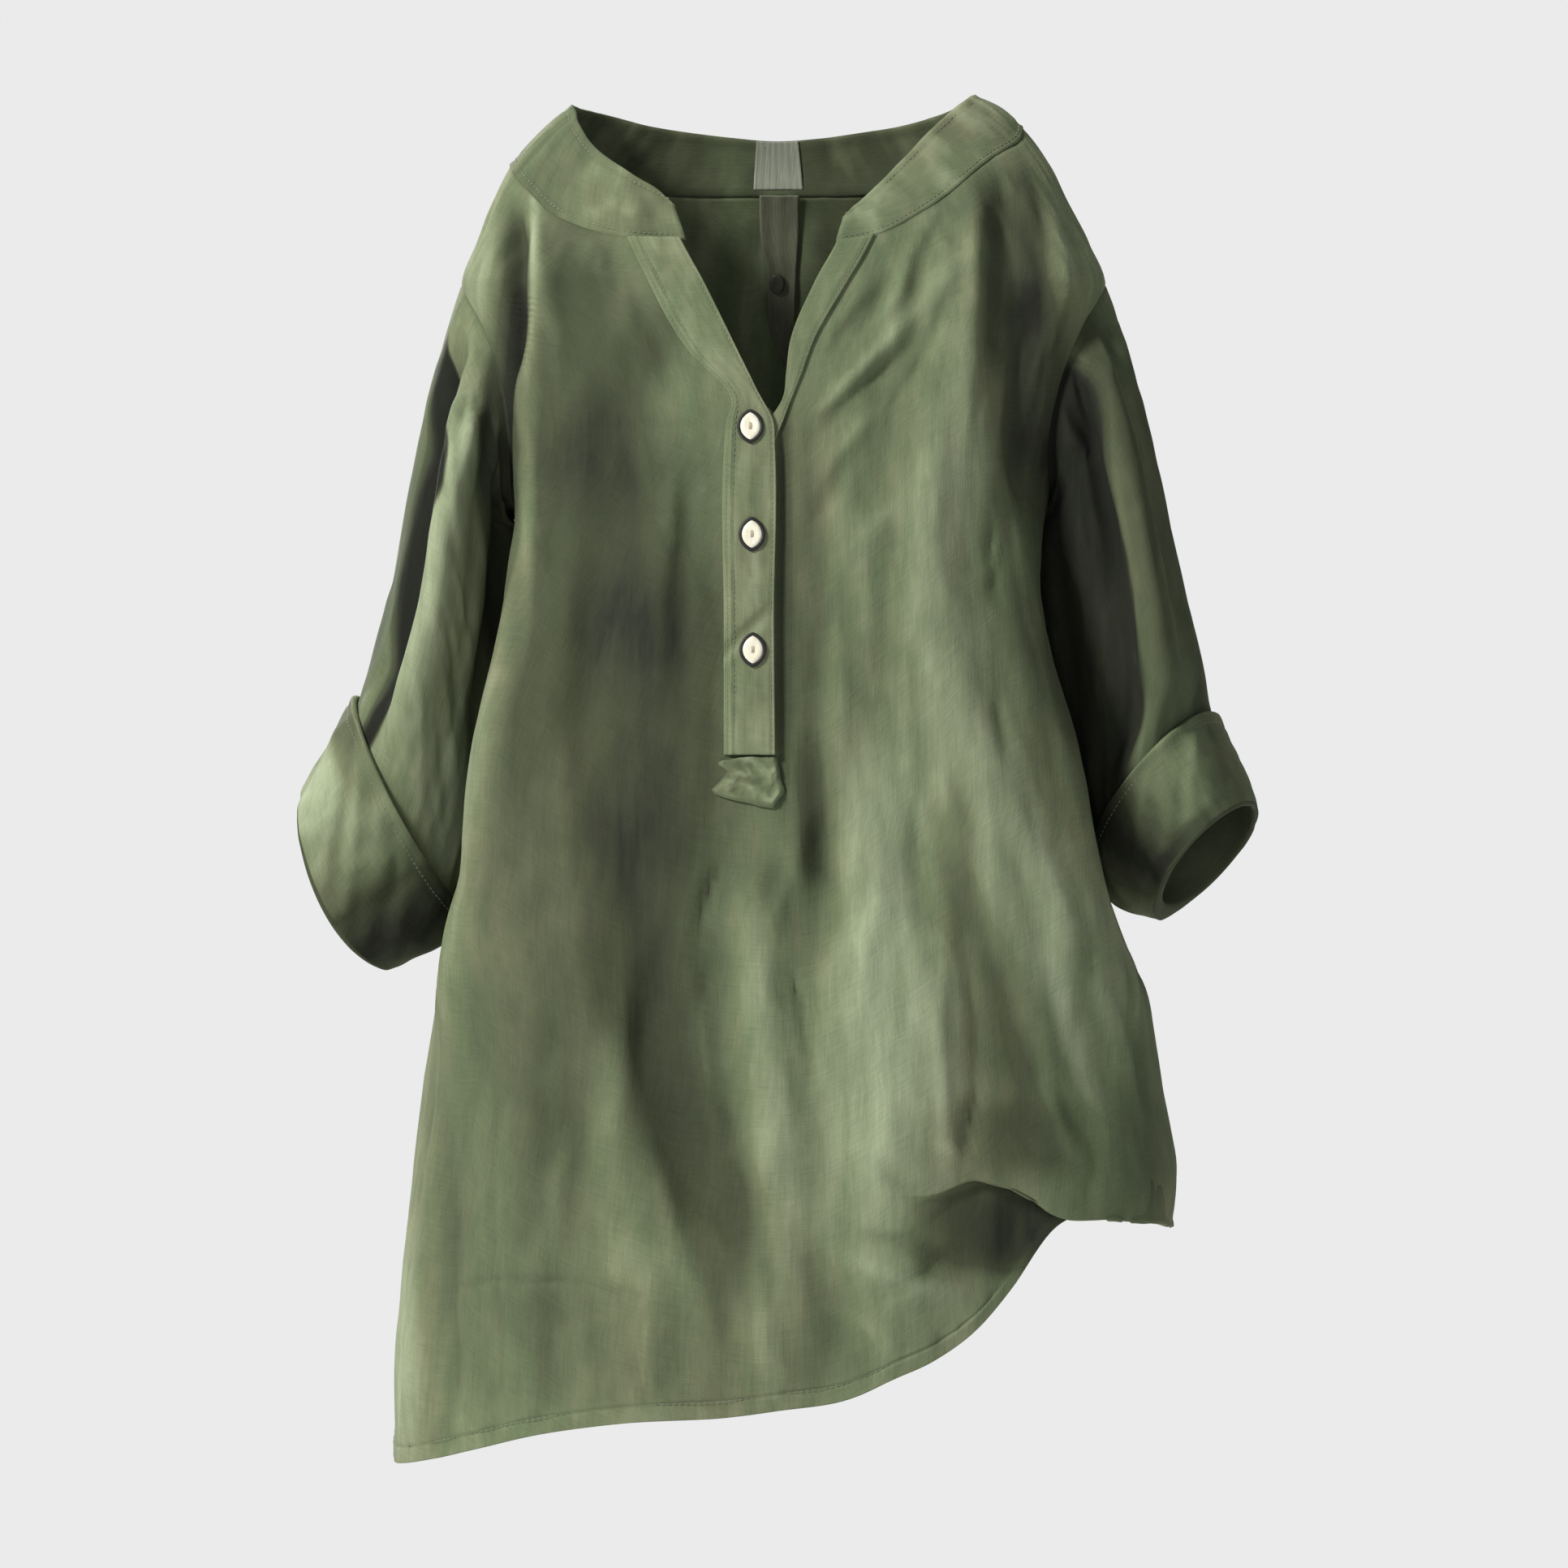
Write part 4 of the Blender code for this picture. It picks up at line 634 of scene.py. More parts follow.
def smooth(at, xs, values, slopes):
    """Smooth curve through values with the given slopes. A value may be a number or a ring of points."""
    i = np.clip(np.searchsorted(xs, at, side="right") - 1, 0, len(xs) - 2)
    step = xs[i + 1] - xs[i]
    u = (at - xs[i]) / step
    if values.ndim > 1:
        step, u = step[:, None, None], u[:, None, None]
    return (
        (1 + 2 * u) * (1 - u) ** 2 * values[i]
        + u * (1 - u) ** 2 * step * slopes[i]
        + u**2 * (3 - 2 * u) * values[i + 1]
        + u**2 * (u - 1) * step * slopes[i + 1]
    )


def through(at, table, column):
    """Smooth curve through one column of a table whose first column rises or falls steadily."""
    rows = np.array(sorted(table), float)
    xs, values = rows[:, 0], rows[:, column]
    return smooth(np.clip(np.asarray(at, float), xs[0], xs[-1]), xs, values, np.gradient(values, xs))


def ease(u):
    """Soft step from 0 to 1."""
    u = np.clip(u, 0, 1)
    return u * u * (3 - 2 * u)


def hump(u, middle, width):
    """Soft ridge of height 1 that falls away on both sides of its middle."""
    return np.exp(-(((u - middle) / width) ** 2))


def between(a, b, share):
    return a + (b - a) * share


def unit(vectors):
    return vectors / np.maximum(np.linalg.norm(vectors, axis=-1, keepdims=True), 1e-9)


def half_turned(angle):
    """The same angle, from -180 to 180."""
    return (angle + 180) % 360 - 180


def rumple(u, v, cell_u, cell_v, seed, turn=LATTICE):
    """Smooth seeded unevenness from -1 to 1 over a sheet, with cells of the given sizes."""
    lattice = np.random.default_rng(seed).uniform(-1, 1, (LATTICE, LATTICE))
    a, b = np.asarray(u) / cell_u, np.asarray(v) / cell_v
    i, j = np.floor(a).astype(int), np.floor(b).astype(int)
    s, t = ease(a - i), ease(b - j)
    corner = lambda di, dj: lattice[(i + di) % turn, (j + dj) % LATTICE]
    return between(between(corner(0, 0), corner(1, 0), s), between(corner(0, 1), corner(1, 1), s), t)


def rumples(u, v, layers, seed=0):
    """Sum of layers of rumpling, whose rows are as the tables above say."""
    return sum(
        height * rumple(u, v, across, down, seed + own, *turn) for height, across, down, own, *turn in layers
    )


def crease_lift(u, v, creases, closed=False):
    """Height of a set of creases, each a soft, slightly bent ridge or trough that fades at its ends and widens
    on its way. On a closed sheet u is an angle."""
    lift = np.zeros(np.broadcast(u, v).shape)
    for number, (u0, v0, u1, v1, width, height) in enumerate(creases):
        span_u, span_v = u1 - u0, v1 - v0
        if closed:
            share = (v - v0) / span_v
            off = half_turned(u - u0) - span_u * share
            bend, reach = CLOSED_BEND * width, CLOSED_REACH
        else:
            length = math.hypot(span_u, span_v)
            share = ((u - u0) * span_u + (v - v0) * span_v) / length**2
            off = ((u - u0) * span_v - (v - v0) * span_u) / length
            bend, reach = OPEN_BEND * length, OPEN_REACH
        inside = np.clip(share, 0, 1)
        off = off - math.sin(number * BEND_TURN) * bend * np.sin(math.pi * inside)
        fade = CREASE_FADE + reach
        along = ease((share + reach) / fade) * ease((1 + reach - share) / fade)
        lift = lift + height * along * hump(off, 0, width * (0.8 + 0.5 * inside))
    return lift


def painted_shading_over(u, v, table, closed=False):
    """Soft painted light and shade: how much paler (above 0) or darker each place is painted."""
    total = np.zeros(np.broadcast(u, v).shape)
    for u0, v0, half_u, half_v, lean, strength in table:
        away = u - u0 - lean * (v - v0)
        if closed:
            away = half_turned(away)
        total = total + strength * np.exp(-((away / half_u) ** 2) - ((v - v0) / half_v) ** 4)
    return total


def steps_over(*spans):
    """Evenly spaced steps over each span in turn (start, stop, count), with none of them twice."""
    steps = np.concatenate([np.linspace(*span) for span in spans])
    return steps[np.append(True, np.diff(steps) != 0)]


def hem_and_tuck(angle, column):
    return through(np.mod(angle, 360), HEM_AND_TUCK, column)


def half_width(level, left):
    return np.where(left, through(level, BODY_SECTIONS, 1), through(level, BODY_SECTIONS, 2))


def section(angle, level):
    """Plain outline of the body at a level: x, y and the outward direction in plan."""
    c, s = np.cos(np.radians(angle)), np.sin(np.radians(angle))
    half = half_width(level, c > 0)
    deep = np.where(s > 0, through(level, BODY_SECTIONS, 3), through(level, BODY_SECTIONS, 4))
    n = through(level, BODY_SECTIONS, 5)
    size = (np.abs(c) ** n + np.abs(s) ** n) ** (-1 / n)
    out_x = -np.sign(c) * np.abs(c) ** (n - 1) / half
    out_y = -np.sign(s) * np.abs(s) ** (n - 1) / deep
    norm = np.hypot(out_x, out_y)
    return -half * c * size, -deep * s * size, out_x / norm, out_y / norm


def fold_height(x, level, angle):
    """How far the large folds lift the cloth off its plain outline."""
    lift = np.zeros_like(np.asarray(x, float))
    facing = np.sin(np.radians(angle))
    for side, x_top, z_top, x_foot, z_foot, width, height in BODY_FOLDS:
        middle = between(x_top, x_foot, np.clip((z_top - level) / (z_top - z_foot), 0, 1))
        along = ease((z_top - level) / FOLD_FADE) * ease((level - z_foot) / FOLD_FADE + 0.4)
        lift = lift + height * along * ease(side * facing * 2.5) * hump(x, middle, width)
    dent, corner = (np.maximum(through(level, SIDE_DENT, i), 0) for i in (1, 2))
    lift = lift - dent * np.exp(-2 * (facing / DENT_WIDTH) ** 2)
    fuller = ease((FULLER_TOP - level) / 40) * ease((level - FULLER_FOOT) / 60) * ease(x / 60)
    lift = lift + FULLER_RIGHT * fuller * hump(facing, 0, FULLER_WIDTH)
    return lift + corner * hump(np.abs(facing), CORNER_FACING, CORNER_WIDTH)


def keep_placket_flat(x, level, angle):
    """Share of the folds left at a place: none under the plackets."""
    off_over, off_under = (
        ease((np.abs(x - (through(level, strip, 1) + through(level, strip, 2)) / 2) - half) / FLAT_FADE)
        for strip, half in ((PLACKET_OVER, HALF_OVER), (PLACKET_UNDER, HALF_UNDER))
    )
    below = ease((PLACKET_FOOT_Z - 22 - level) / 26)
    behind = ease(-np.sin(np.radians(angle)) * 4)
    return np.maximum(np.maximum(off_over * off_under, below), behind)


def skin(angle, level):
    """Outer face of the cloth with its large folds, at an angle and a level."""
    x, y, out_x, out_y = section(angle, level)
    lift = fold_height(x, level, angle) * keep_placket_flat(x, level, angle)
    return np.stack([x + out_x * lift, y + out_y * lift, np.broadcast_to(level, x.shape)], axis=-1)


def body_point(angle, row):
    """Point of the outer face. Rows: 0 neck, 1 shoulder, 2 slit foot, 3 underarm, 4 and 5 tuck, 6 hem."""
    angle, row = np.broadcast_arrays(np.asarray(angle, float), np.asarray(row, float))
    levels = [through(np.mod(angle, 360), NECK_SEAM, 1)]
    levels += [np.full_like(angle, level) for level in (SHOULDER_POINT_Z, SLIT_FOOT_Z, UNDERARM_Z)]
    levels = np.stack(levels + [hem_and_tuck(angle, column) for column in (TUCK_TOP, TUCK_FOOT, HEM_LEVEL)])
    part = np.clip(np.floor(row), 0, 5).astype(int)
    share = row - part
    start, stop = (np.take_along_axis(levels, part[None] + i, 0)[0] for i in (0, 1))
    turn = np.where(part == 4, np.sin(2 * math.pi * share), 0)
    inward = hem_and_tuck(angle, TUCK_DEPTH) * np.where(part == 4, ease(share), np.where(part == 5, 1.0, 0.0))
    level = between(start, stop, share) - hem_and_tuck(angle, TUCK_RISE) * turn
    point = skin(angle, level)
    _, _, out_x, out_y = section(angle, level)
    point[..., 0] -= out_x * inward
    point[..., 1] -= out_y * inward
    return point


def body_normal(angle, row):
    """Outward direction of the cloth, the same for every piece that meets there."""
    row = np.asarray(row, float)
    down = body_point(angle, np.clip(row + 0.02, 0, 6)) - body_point(angle, np.clip(row - 0.02, 0, 6))
    across = body_point(angle + 0.4, row) - body_point(angle - 0.4, row)
    return unit(np.cross(down, across))


def skin_normal(angle, level):
    down = skin(angle, level - 1.0) - skin(angle, level + 1.0)
    across = skin(angle + 0.4, level) - skin(angle - 0.4, level)
    return unit(np.cross(down, across))


def angle_of(x, level, back=False):
    """Angle at which the plain outline has this x, on the front or on the back."""
    x, level = np.broadcast_arrays(np.asarray(x, float), np.asarray(level, float))
    half = half_width(level, x < 0)
    n = through(level, BODY_SECTIONS, 5)
    share = np.clip(-x / half, -0.999, 0.999)
    rest = (1 - np.abs(share) ** n) ** (1 / n)
    found = np.degrees(np.arctan2(rest, share))
    return -found if back else found


def over_skin(x, level, height, back=False):
    """Points at a height over the cloth's outer face (inside it below 0), and the outward directions."""
    angle = angle_of(x, level, back)
    out = skin_normal(angle, level)
    return skin(angle, level) + out * np.asarray(height)[..., None], out


def grid_out(grid, closed=False):
    """Directions off a grid of points, pointing the way that body_normal does."""
    down = np.gradient(grid, axis=0)
    across = np.roll(grid, -1, 1) - np.roll(grid, 1, 1) if closed else np.gradient(grid, axis=1)
    return unit(np.cross(down, across))


def looks_in(grid, row, out, closed=False):
    """Whether the faces along a row of a grid look against the outward directions there."""
    return np.sum(grid_out(grid, closed)[row] * out) < 0


# ---------------------------------------------------------------- making cloth pieces

def grain_of(grid, closed):
    """Cloth coordinates in metres: how far across and down the cloth each point of a grid lies."""
    wide = np.concatenate([grid, grid[:, :1]], 1) if closed else grid
    across = np.linalg.norm(np.diff(wide, axis=1), axis=-1).cumsum(1)
    across = np.concatenate([np.zeros((len(grid), 1)), across], 1)
    down = np.linalg.norm(np.diff(wide, axis=0), axis=-1).cumsum(0)
    down = np.concatenate([np.zeros((1, wide.shape[1])), down], 0)
    return np.stack([across, -down], -1) * MM


def stitched_mesh(name, grids, closed=False, flip=False, painted_shading_and_mottle=()):
    """One mesh of one or more grids, welded where they meet. It stores its grain for the weave, and its
    painted
    light and shade: paler where a place stands up in the folds, darker in its troughs and in shade."""
    points, faces, grain = [], [], []
    start = 0
    for grid in grids:
        rows, columns = grid.shape[:2]
        coords = grain_of(grid, closed)
        for i in range(rows - 1):
            for j in range(columns if closed else columns - 1):
                k = (j + 1) % columns
                corners = [(i, j, j), (i + 1, j, j), (i + 1, k, j + 1), (i, k, j + 1)]
                if flip:
                    corners.reverse()
                faces.append([start + a * columns + b for a, b, _ in corners])
                grain.extend(coords[a, c] for a, _, c in corners)
        points.append(grid.reshape(-1, 3))
        start += rows * columns
    mesh = bpy.data.meshes.new(name)
    mesh.from_pydata((np.concatenate(points) * MM).tolist(), [], faces)
    layer = mesh.uv_layers.new(name="grain")
    layer.data.foreach_set("uv", np.asarray(grain, float).ravel())
    # Painted light and shade of each point, stored for the finish to read
    painted_shading = np.concatenate([np.ravel(w) for w in painted_shading_and_mottle]) if len(painted_shading_and_mottle) else np.zeros(len(mesh.vertices))
    mesh.attributes.new("painted_shading_and_mottle", "FLOAT", "POINT").data.foreach_set("value", painted_shading.astype(float))
    work = bmesh.new()
    work.from_mesh(mesh)
    bmesh.ops.remove_doubles(work, verts=work.verts, dist=WELD)
    work.to_mesh(mesh)
    work.free()
    mesh.shade_smooth()
    return mesh


def put_in_scene(name, data):
    thing = bpy.data.objects.new(name, data)
    bpy.context.scene.collection.objects.link(thing)
    return thing


def add_piece(name, mesh, finish, nodes=(), thickness=0.0):
    """Puts a piece in the scene on the body, with its finish and the solids it stands for."""
    piece = put_in_scene(name, mesh)
    mesh.materials.append(finish)
    if thickness:
        wall = piece.modifiers.new("cloth thickness", "SOLIDIFY")
        wall.thickness = thickness * MM
        wall.offset = -1
        wall.use_even_offset = False
    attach(piece, "root")
    if nodes:
        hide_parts(*nodes)
    return piece


# ---------------------------------------------------------------- front and back

def body_rows():
    """Rows of the panels, closer together at both ends of the armhole and where the hem is sewn."""
    parts = [np.linspace(0, 1, count + 1)[:-1] for count in ROWS_BY_PART]
    parts[1] = np.concatenate([SHOULDER_ROWS, parts[1][3:]])
    parts[2] = np.concatenate([parts[2][:-1], UNDERARM_ROWS])
    parts.append(steps_over((0, 0.84, 15), (0.84, 1, 19)))
    return np.concatenate([part + shares for part, shares in enumerate(parts)])


def armhole_angle(rows):
    """Half angle of the armhole at each row."""
    level = np.interp(rows, (1, 2, 3), (SHOULDER_POINT_Z, SLIT_FOOT_Z, UNDERARM_Z))
    return np.where((rows > 1) & (rows < 3), np.maximum(through(level, ARMHOLE, 1), 0), 0)


def slit_edges(rows):
    """Angles of the two cut edges of the front opening, equal from its foot down."""
    level = np.interp(rows, (0, 1, 2), (NECK_FRONT_Z, SHOULDER_POINT_Z, SLIT_FOOT_Z))
    share = ease((level - SLIT_FOOT_Z) / 12)
    for column, short in ((1, -CLOTH_SHORT_OF_STRIP), (2, CLOTH_SHORT_OF_STRIP)):
        edge = through(level, OPENING, column) + short * share
        yield angle_of(between(SLIT_FOOT_X, edge, share), level)


def panel_points(angle, row, hole):
    """Points of the front or back with their drops and creases, the hem and seams pressed flat, and the
    painted light and shade of each point."""
    point, out = body_point(angle, row), body_normal(angle, row)
    x, level = point[..., 0], point[..., 2]
    facing = np.sin(np.radians(angle))
    front = facing.mean() > 0
    seed, creases, large_drops, shading_paint = FRONT_RELIEF if front else BACK_RELIEF
    around = np.mod(angle, 360) * PANEL_MM_A_DEGREE
    off_side = np.abs(np.mod(angle + 90, 180) - 90) - np.maximum(hole, through(level, FADE_AROUND, 1))
    flat = ease(off_side / 8) * (0.12 + 0.88 * ease(row / 0.5))
    # Painted light and shade from the panel's table, on the front also the painted shadow under the tuck
    painted_cast = painted_shading_over(x, level, shading_paint)
    if front:
        flat = flat * keep_placket_flat(x, level, angle)
        painted_cast = painted_cast + np.where(row > 4.3, painted_shading_over(x, level, TUCK_PAINTED_SHADOW), 0)
    near_hem = np.where(row > 5, level - hem_and_tuck(angle, HEM_LEVEL), FAR_FROM_HEM)
    small = 1.5 * crease_lift(x, level, creases) * ease((np.abs(facing) - 0.3) / 0.3)
    small = small + rumples(around, level, PANEL_RUMPLES, seed)
    small = small * (0.45 + 0.55 * ease(near_hem / 16)) * flat
    drops = crease_lift(x, level, large_drops) * ease((np.abs(facing) - 0.2) / 0.3) * flat
    pucker = rumples(around, level, HEM_PUCKER, seed) * hump(near_hem, HEM_BAND, 4)
    edge = 0.45 * ease((HEM_BAND - near_hem) / 1.2) - 0.6 * hump(near_hem, HEM_BAND + 0.4, 0.9)
    lift = small + drops + 0.55 * pucker + edge
    if front:
        # the cloth dips along the free edge of the upper strip
        lift = lift - 1.6 * hump(x, 4.2, 2.8) * ease((-190 - level) / 20) * ease((level + 400) / 14)
    # Painted highlights where the cloth stands up and painted shade in its troughs, stronger on the back
    relief = fold_height(x, level, angle) * flat / SHADING_PER_FOLD + drops / SHADING_PER_DROP + small / SHADING_PER_CREASE
    painted_shading_and_mottle = (relief + edge / SHADING_PER_EDGE + pucker / SHADING_PER_PUCKER) * (1 if front else 1.5)
    # Painted shade on the layer that lies under the tuck
    under_tuck = hem_and_tuck(angle, TUCK_DEPTH) / 10 * ease((row - 4.4) / 0.3)
    return point + out * lift[..., None], painted_shading_and_mottle - np.where((row > 4) & (row < 5), under_tuck, 0) + painted_cast


def panel_grid(start, stop, columns, rows, hole):
    angle = start[:, None] + (stop - start)[:, None] * np.linspace(0, 1, columns + 1)
    row = np.broadcast_to(rows[:, None], angle.shape)
    return panel_points(angle, row, np.broadcast_to(hole[:, None], angle.shape))


def make_panel(node, cloth):
    rows = body_rows()
    hole = armhole_angle(rows)
    left_cut, right_cut = slit_edges(rows)
    front = ((hole, left_cut, 84), (right_cut, 180 - hole, 96))
    back = ((180 + hole, 360 - hole, 150),)
    parts = [panel_grid(*part, rows, hole) for part in (front if node == "front" else back)]
    grids, painted_shading_and_mottle = zip(*parts)
    name = f"cloth_{node}"
    return add_piece(name, stitched_mesh(name, grids, painted_shading_and_mottle=painted_shading_and_mottle), cloth, [node], SHELL)


# ---------------------------------------------------------------- sleeves and cuffs

def armhole_loop(side, open_by, rows_inset):
    """Points near the armhole from the shoulder point over the front, and the cloth's directions."""
    rows = steps_over((1, 1.2, 9), (1.25, 2.75, 26), (2.8, 3, 9))
    opened = armhole_angle(rows) * open_by
    opened[0] = opened[-1] = 0
    rows = 2.0 + (rows - 2.0) * rows_inset
    angle = np.concatenate([opened, -opened[-2:0:-1]])
    at = np.concatenate([rows, rows[-2:0:-1]])
    angle = 180 - angle if side > 0 else angle
    return body_point(angle, at), body_normal(angle, at)


def run_along(points):
    """How far along a line each of its points lies."""
    return np.concatenate([[0], np.linalg.norm(np.diff(points, axis=0), axis=1).cumsum()])


def spread_along(at, run, values):
    return np.stack([np.interp(at, run, values[:, i]) for i in range(3)], -1)


def even_loop(points, out, count):
    """The same loop with its points evenly spread."""
    points, out = (np.concatenate([values, values[:1]]) for values in (points, out))
    run = run_along(points)
    at = np.linspace(0, run[-1], count, endpoint=False)
    return spread_along(at, run, points), unit(spread_along(at, run, out))


def ring_points(ring, side, around):
    outer_x, outer_z, inner_x, inner_z, middle_y, half_deep, lead, egg = ring
    middle = np.array([(outer_x + inner_x) / 2, middle_y, (outer_z + inner_z) / 2])
    chord = np.array([outer_x - inner_x, 0, outer_z - inner_z])
    half = np.linalg.norm(chord) / 2
    chord = chord / np.linalg.norm(chord)
    along = side * np.array([chord[2], 0, -chord[0]])
    c, s = np.cos(around)[:, None], np.sin(around)[:, None]
    return middle + half * c * chord + s * (half_deep * (1 + egg * c) * np.array([0, -1, 0]) + lead * along)


def outward(grid):
    """Directions off a closed grid, away from its middle."""
    out = grid_out(grid, closed=True)
    middle = len(grid) // 2
    away = grid[middle] - grid[middle].mean(0)
    return out if np.sum(out[middle] * away) > 0 else -out


def sleeve_surface(side, rows_at):
    """Outer face of the sleeve from the armhole to the cuff's edge, its outward directions and its angles."""
    loop, out = even_loop(*armhole_loop(side, 0.982, 0.982), SLEEVE_COLUMNS)
    around = np.linspace(0, 2 * math.pi, SLEEVE_COLUMNS, endpoint=False)
    rings = np.stack([loop] + [ring_points(ring, side, around) for ring in SLEEVE_RINGS[side]])
    slopes = np.gradient(rings, RING_AT, axis=0)
    slopes[0] += out * (SLEEVE_START * (0.15 + 0.85 * np.sin(around / 2) ** 2))[:, None]
    grid = smooth(rows_at, RING_AT, rings, slopes)
    lift = np.zeros(grid.shape[:2])
    for angle, start, stop, width, height, lean in SLEEVE_FOLDS[side]:
        away = half_turned(np.degrees(around) - angle - lean * (rows_at - 0.45)[:, None])
        along = ease((rows_at - start) / 0.14) * ease((stop - rows_at) / 0.1)
        lift += height * along[:, None] * hump(away, 0, width)
    grid = grid + outward(grid) * lift[..., None]
    share = ease(rows_at / 0.12)[:, None, None]
    return grid, unit(between(out[None], outward(grid), share)), np.degrees(around), lift


def make_sleeve(name, side, cloth, node):
    rows_at = steps_over((0, 0.12, 14), (0.12, 0.865, 80))
    grid, out, around, folds = sleeve_surface(side, rows_at)
    u, v = np.meshgrid(around, rows_at)
    lift = crease_lift(u, v, SLEEVE_CREASES[side], closed=True) * (0.3 + 0.7 * ease((0.86 - v) / 0.2))
    lift = lift + rumples(u, v * SLEEVE_LONG, SLEEVE_RUMPLES, side)
    lift = lift * ease(v / 0.1) * ease((0.84 - v) / 0.06)
    lift = lift + (SLEEVE_FULLER + side) * hump(u, 180, 44) * ease(v / 0.03) * ease((0.6 - v) / 0.32)
    # Painted highlights on raised folds and creases, painted shade in their troughs, and the table's painted
    # light and shade
    painted_shading_and_mottle = folds / 14 + lift / 6 + painted_shading_over(u, v, SLEEVE_PAINTED_SHADING[side], closed=True)
    # Painted shade on the side of the sleeve that lies in the body's shade
    top, foot = SLEEVE_SHADE[side]
    shade = between(top, foot, ease((v - 0.25) / 0.3))
    painted_shading_and_mottle = painted_shading_and_mottle - shade * ease((u - through(v, SLEEVE_SHADED_FROM[side], 1)) / 18 + 0.3) * ease((250 - u) / 40)
    # Painted shade down the left sleeve's valley
    if side < 0:
        start, stop = (through(v, SLEEVE_VALLEY, i) for i in (1, 2))
        valley = ease((u - start) / 13 + 0.5) * ease((stop - u) / 5 + 0.5) * ease((v - 0.05) / 0.1)
        painted_shading_and_mottle = painted_shading_and_mottle - VALLEY_SHADE * valley
    grid = grid + out * lift[..., None]
    tucked, tucked_out = even_loop(*armhole_loop(side, 1.035, 1.012), SLEEVE_COLUMNS)
    first = tucked - tucked_out * SEAM_TUCKED
    second = grid[0] - out[0] * 0.7
    grid = np.concatenate([first[None], second[None], grid[1:]])
    # Painted shade along the seam tucked under the body
    painted_shading_and_mottle = np.concatenate([painted_shading_and_mottle[:1] - 0.5, painted_shading_and_mottle[:1] - 0.5, painted_shading_and_mottle[1:]])
    mesh = stitched_mesh(name, [grid], True, looks_in(grid, 50, out[49], True), (painted_shading_and_mottle,))
    return add_piece(name, mesh, cloth, [node], SHELL)


def rolled_edge(start, stop, push):
    """Loops of a rounded edge, from one loop of points over to another."""
    middle, half = (start + stop) / 2, (stop - start) / 2
    turns = np.linspace(0, math.pi, ROLL_LOOPS + 2)[1:-1]
    return [middle - half * math.cos(turn) + push * math.sin(turn) for turn in turns]


def make_cuff(name, side, cloth, node):
    """Turned-up end of the sleeve, a soft rolled band with its own rumpling."""
    share = np.linspace(0, 1, CUFF_ROWS)
    grid, out, around, _ = sleeve_surface(side, between(CUFF_TOP_AT, 1.0, share))
    u, v = np.meshgrid(around, share)
    lift = 1.3 * crease_lift(u, v, CUFF_CREASES[side], closed=True)
    lift = lift + rumples(u, v * CUFF_LONG, CUFF_RUMPLES, side)
    bulge = np.interp(share, *CUFF_BULGE)[:, None]
    bulge = bulge + (CUFF_FULLER + side) * hump(u, 180, 46) * (0.6 + 0.4 * ease(v / 0.15))
    height = CUFF_GAP + CUFF_CLOTH + bulge + lift * (0.35 + 0.65 * ease(v / 0.2))
    outer = grid + out * (height - 0.5 * hump(v, CUFF_SEAM, 0.025))[..., None]
    inner = grid + out * CUFF_GAP
    loops = [*inner, *rolled_edge(inner[-1], outer[-1], unit(grid[-1] - grid[-2]) * 2.6)]
    loops += [*outer[::-1], *rolled_edge(outer[0], inner[0], unit(grid[0] - grid[1]) * 1.2), inner[0]]
    # Painted light and shade over the cuff's outside
    outside = lift / 4 + painted_shading_over(u, v, CUFF_PAINTED_SHADING[side], closed=True)
    ones = np.ones(SLEEVE_COLUMNS)
    # Painted shade inside the cuff and at its inner end
    painted_shading_and_mottle = [ones * INSIDE_CUFF_SHADE] * (CUFF_ROWS + ROLL_LOOPS) + [*outside[::-1]]
    painted_shading_and_mottle += [ones * 0] * ROLL_LOOPS + [ones * -0.8]
    grid = np.stack(loops)
    flip = looks_in(grid, CUFF_ROWS + ROLL_LOOPS + CUFF_ROWS // 2, out[10], True)
    mesh = stitched_mesh(name, [grid], True, flip, (painted_shading_and_mottle,))
    return add_piece(name, mesh, cloth, [node]), (outer, out)


# ---------------------------------------------------------------- neck band, plackets, tape

def band_surface(angles, shares):
    """Outer face of the neck band: the share runs from the neck seam to the top edge."""
    seam = skin(angles, through(np.mod(angles, 360), NECK_SEAM, 1))
    top = np.stack([through(angles, BAND_TOP, i) for i in (1, 2, 3)], axis=-1)
    grid = between(seam[None], top[None], shares[:, None, None])
    out = grid_out(grid)
    if out[0, len(angles) // 2, 1] < 0:
        out = -out
    grid = grid + out * BAND_BULGE * np.sin(math.pi * np.clip(shares, 0, 1))[:, None, None]
    base = body_normal(angles, 0.0 * angles)[None]
    return grid, unit(between(base, out, ease(shares / 0.3)[:, None, None]))


def add_strip(name, grid, out, finish, nodes, thickness, painted_shading_and_mottle=(), slot="cloth"):
    middle = len(grid) // 2
    flip = looks_in(grid, middle, out[middle])
    return add_piece(name, stitched_mesh(name, [grid], flip=flip, painted_shading_and_mottle=painted_shading_and_mottle), finish, nodes, thickness)


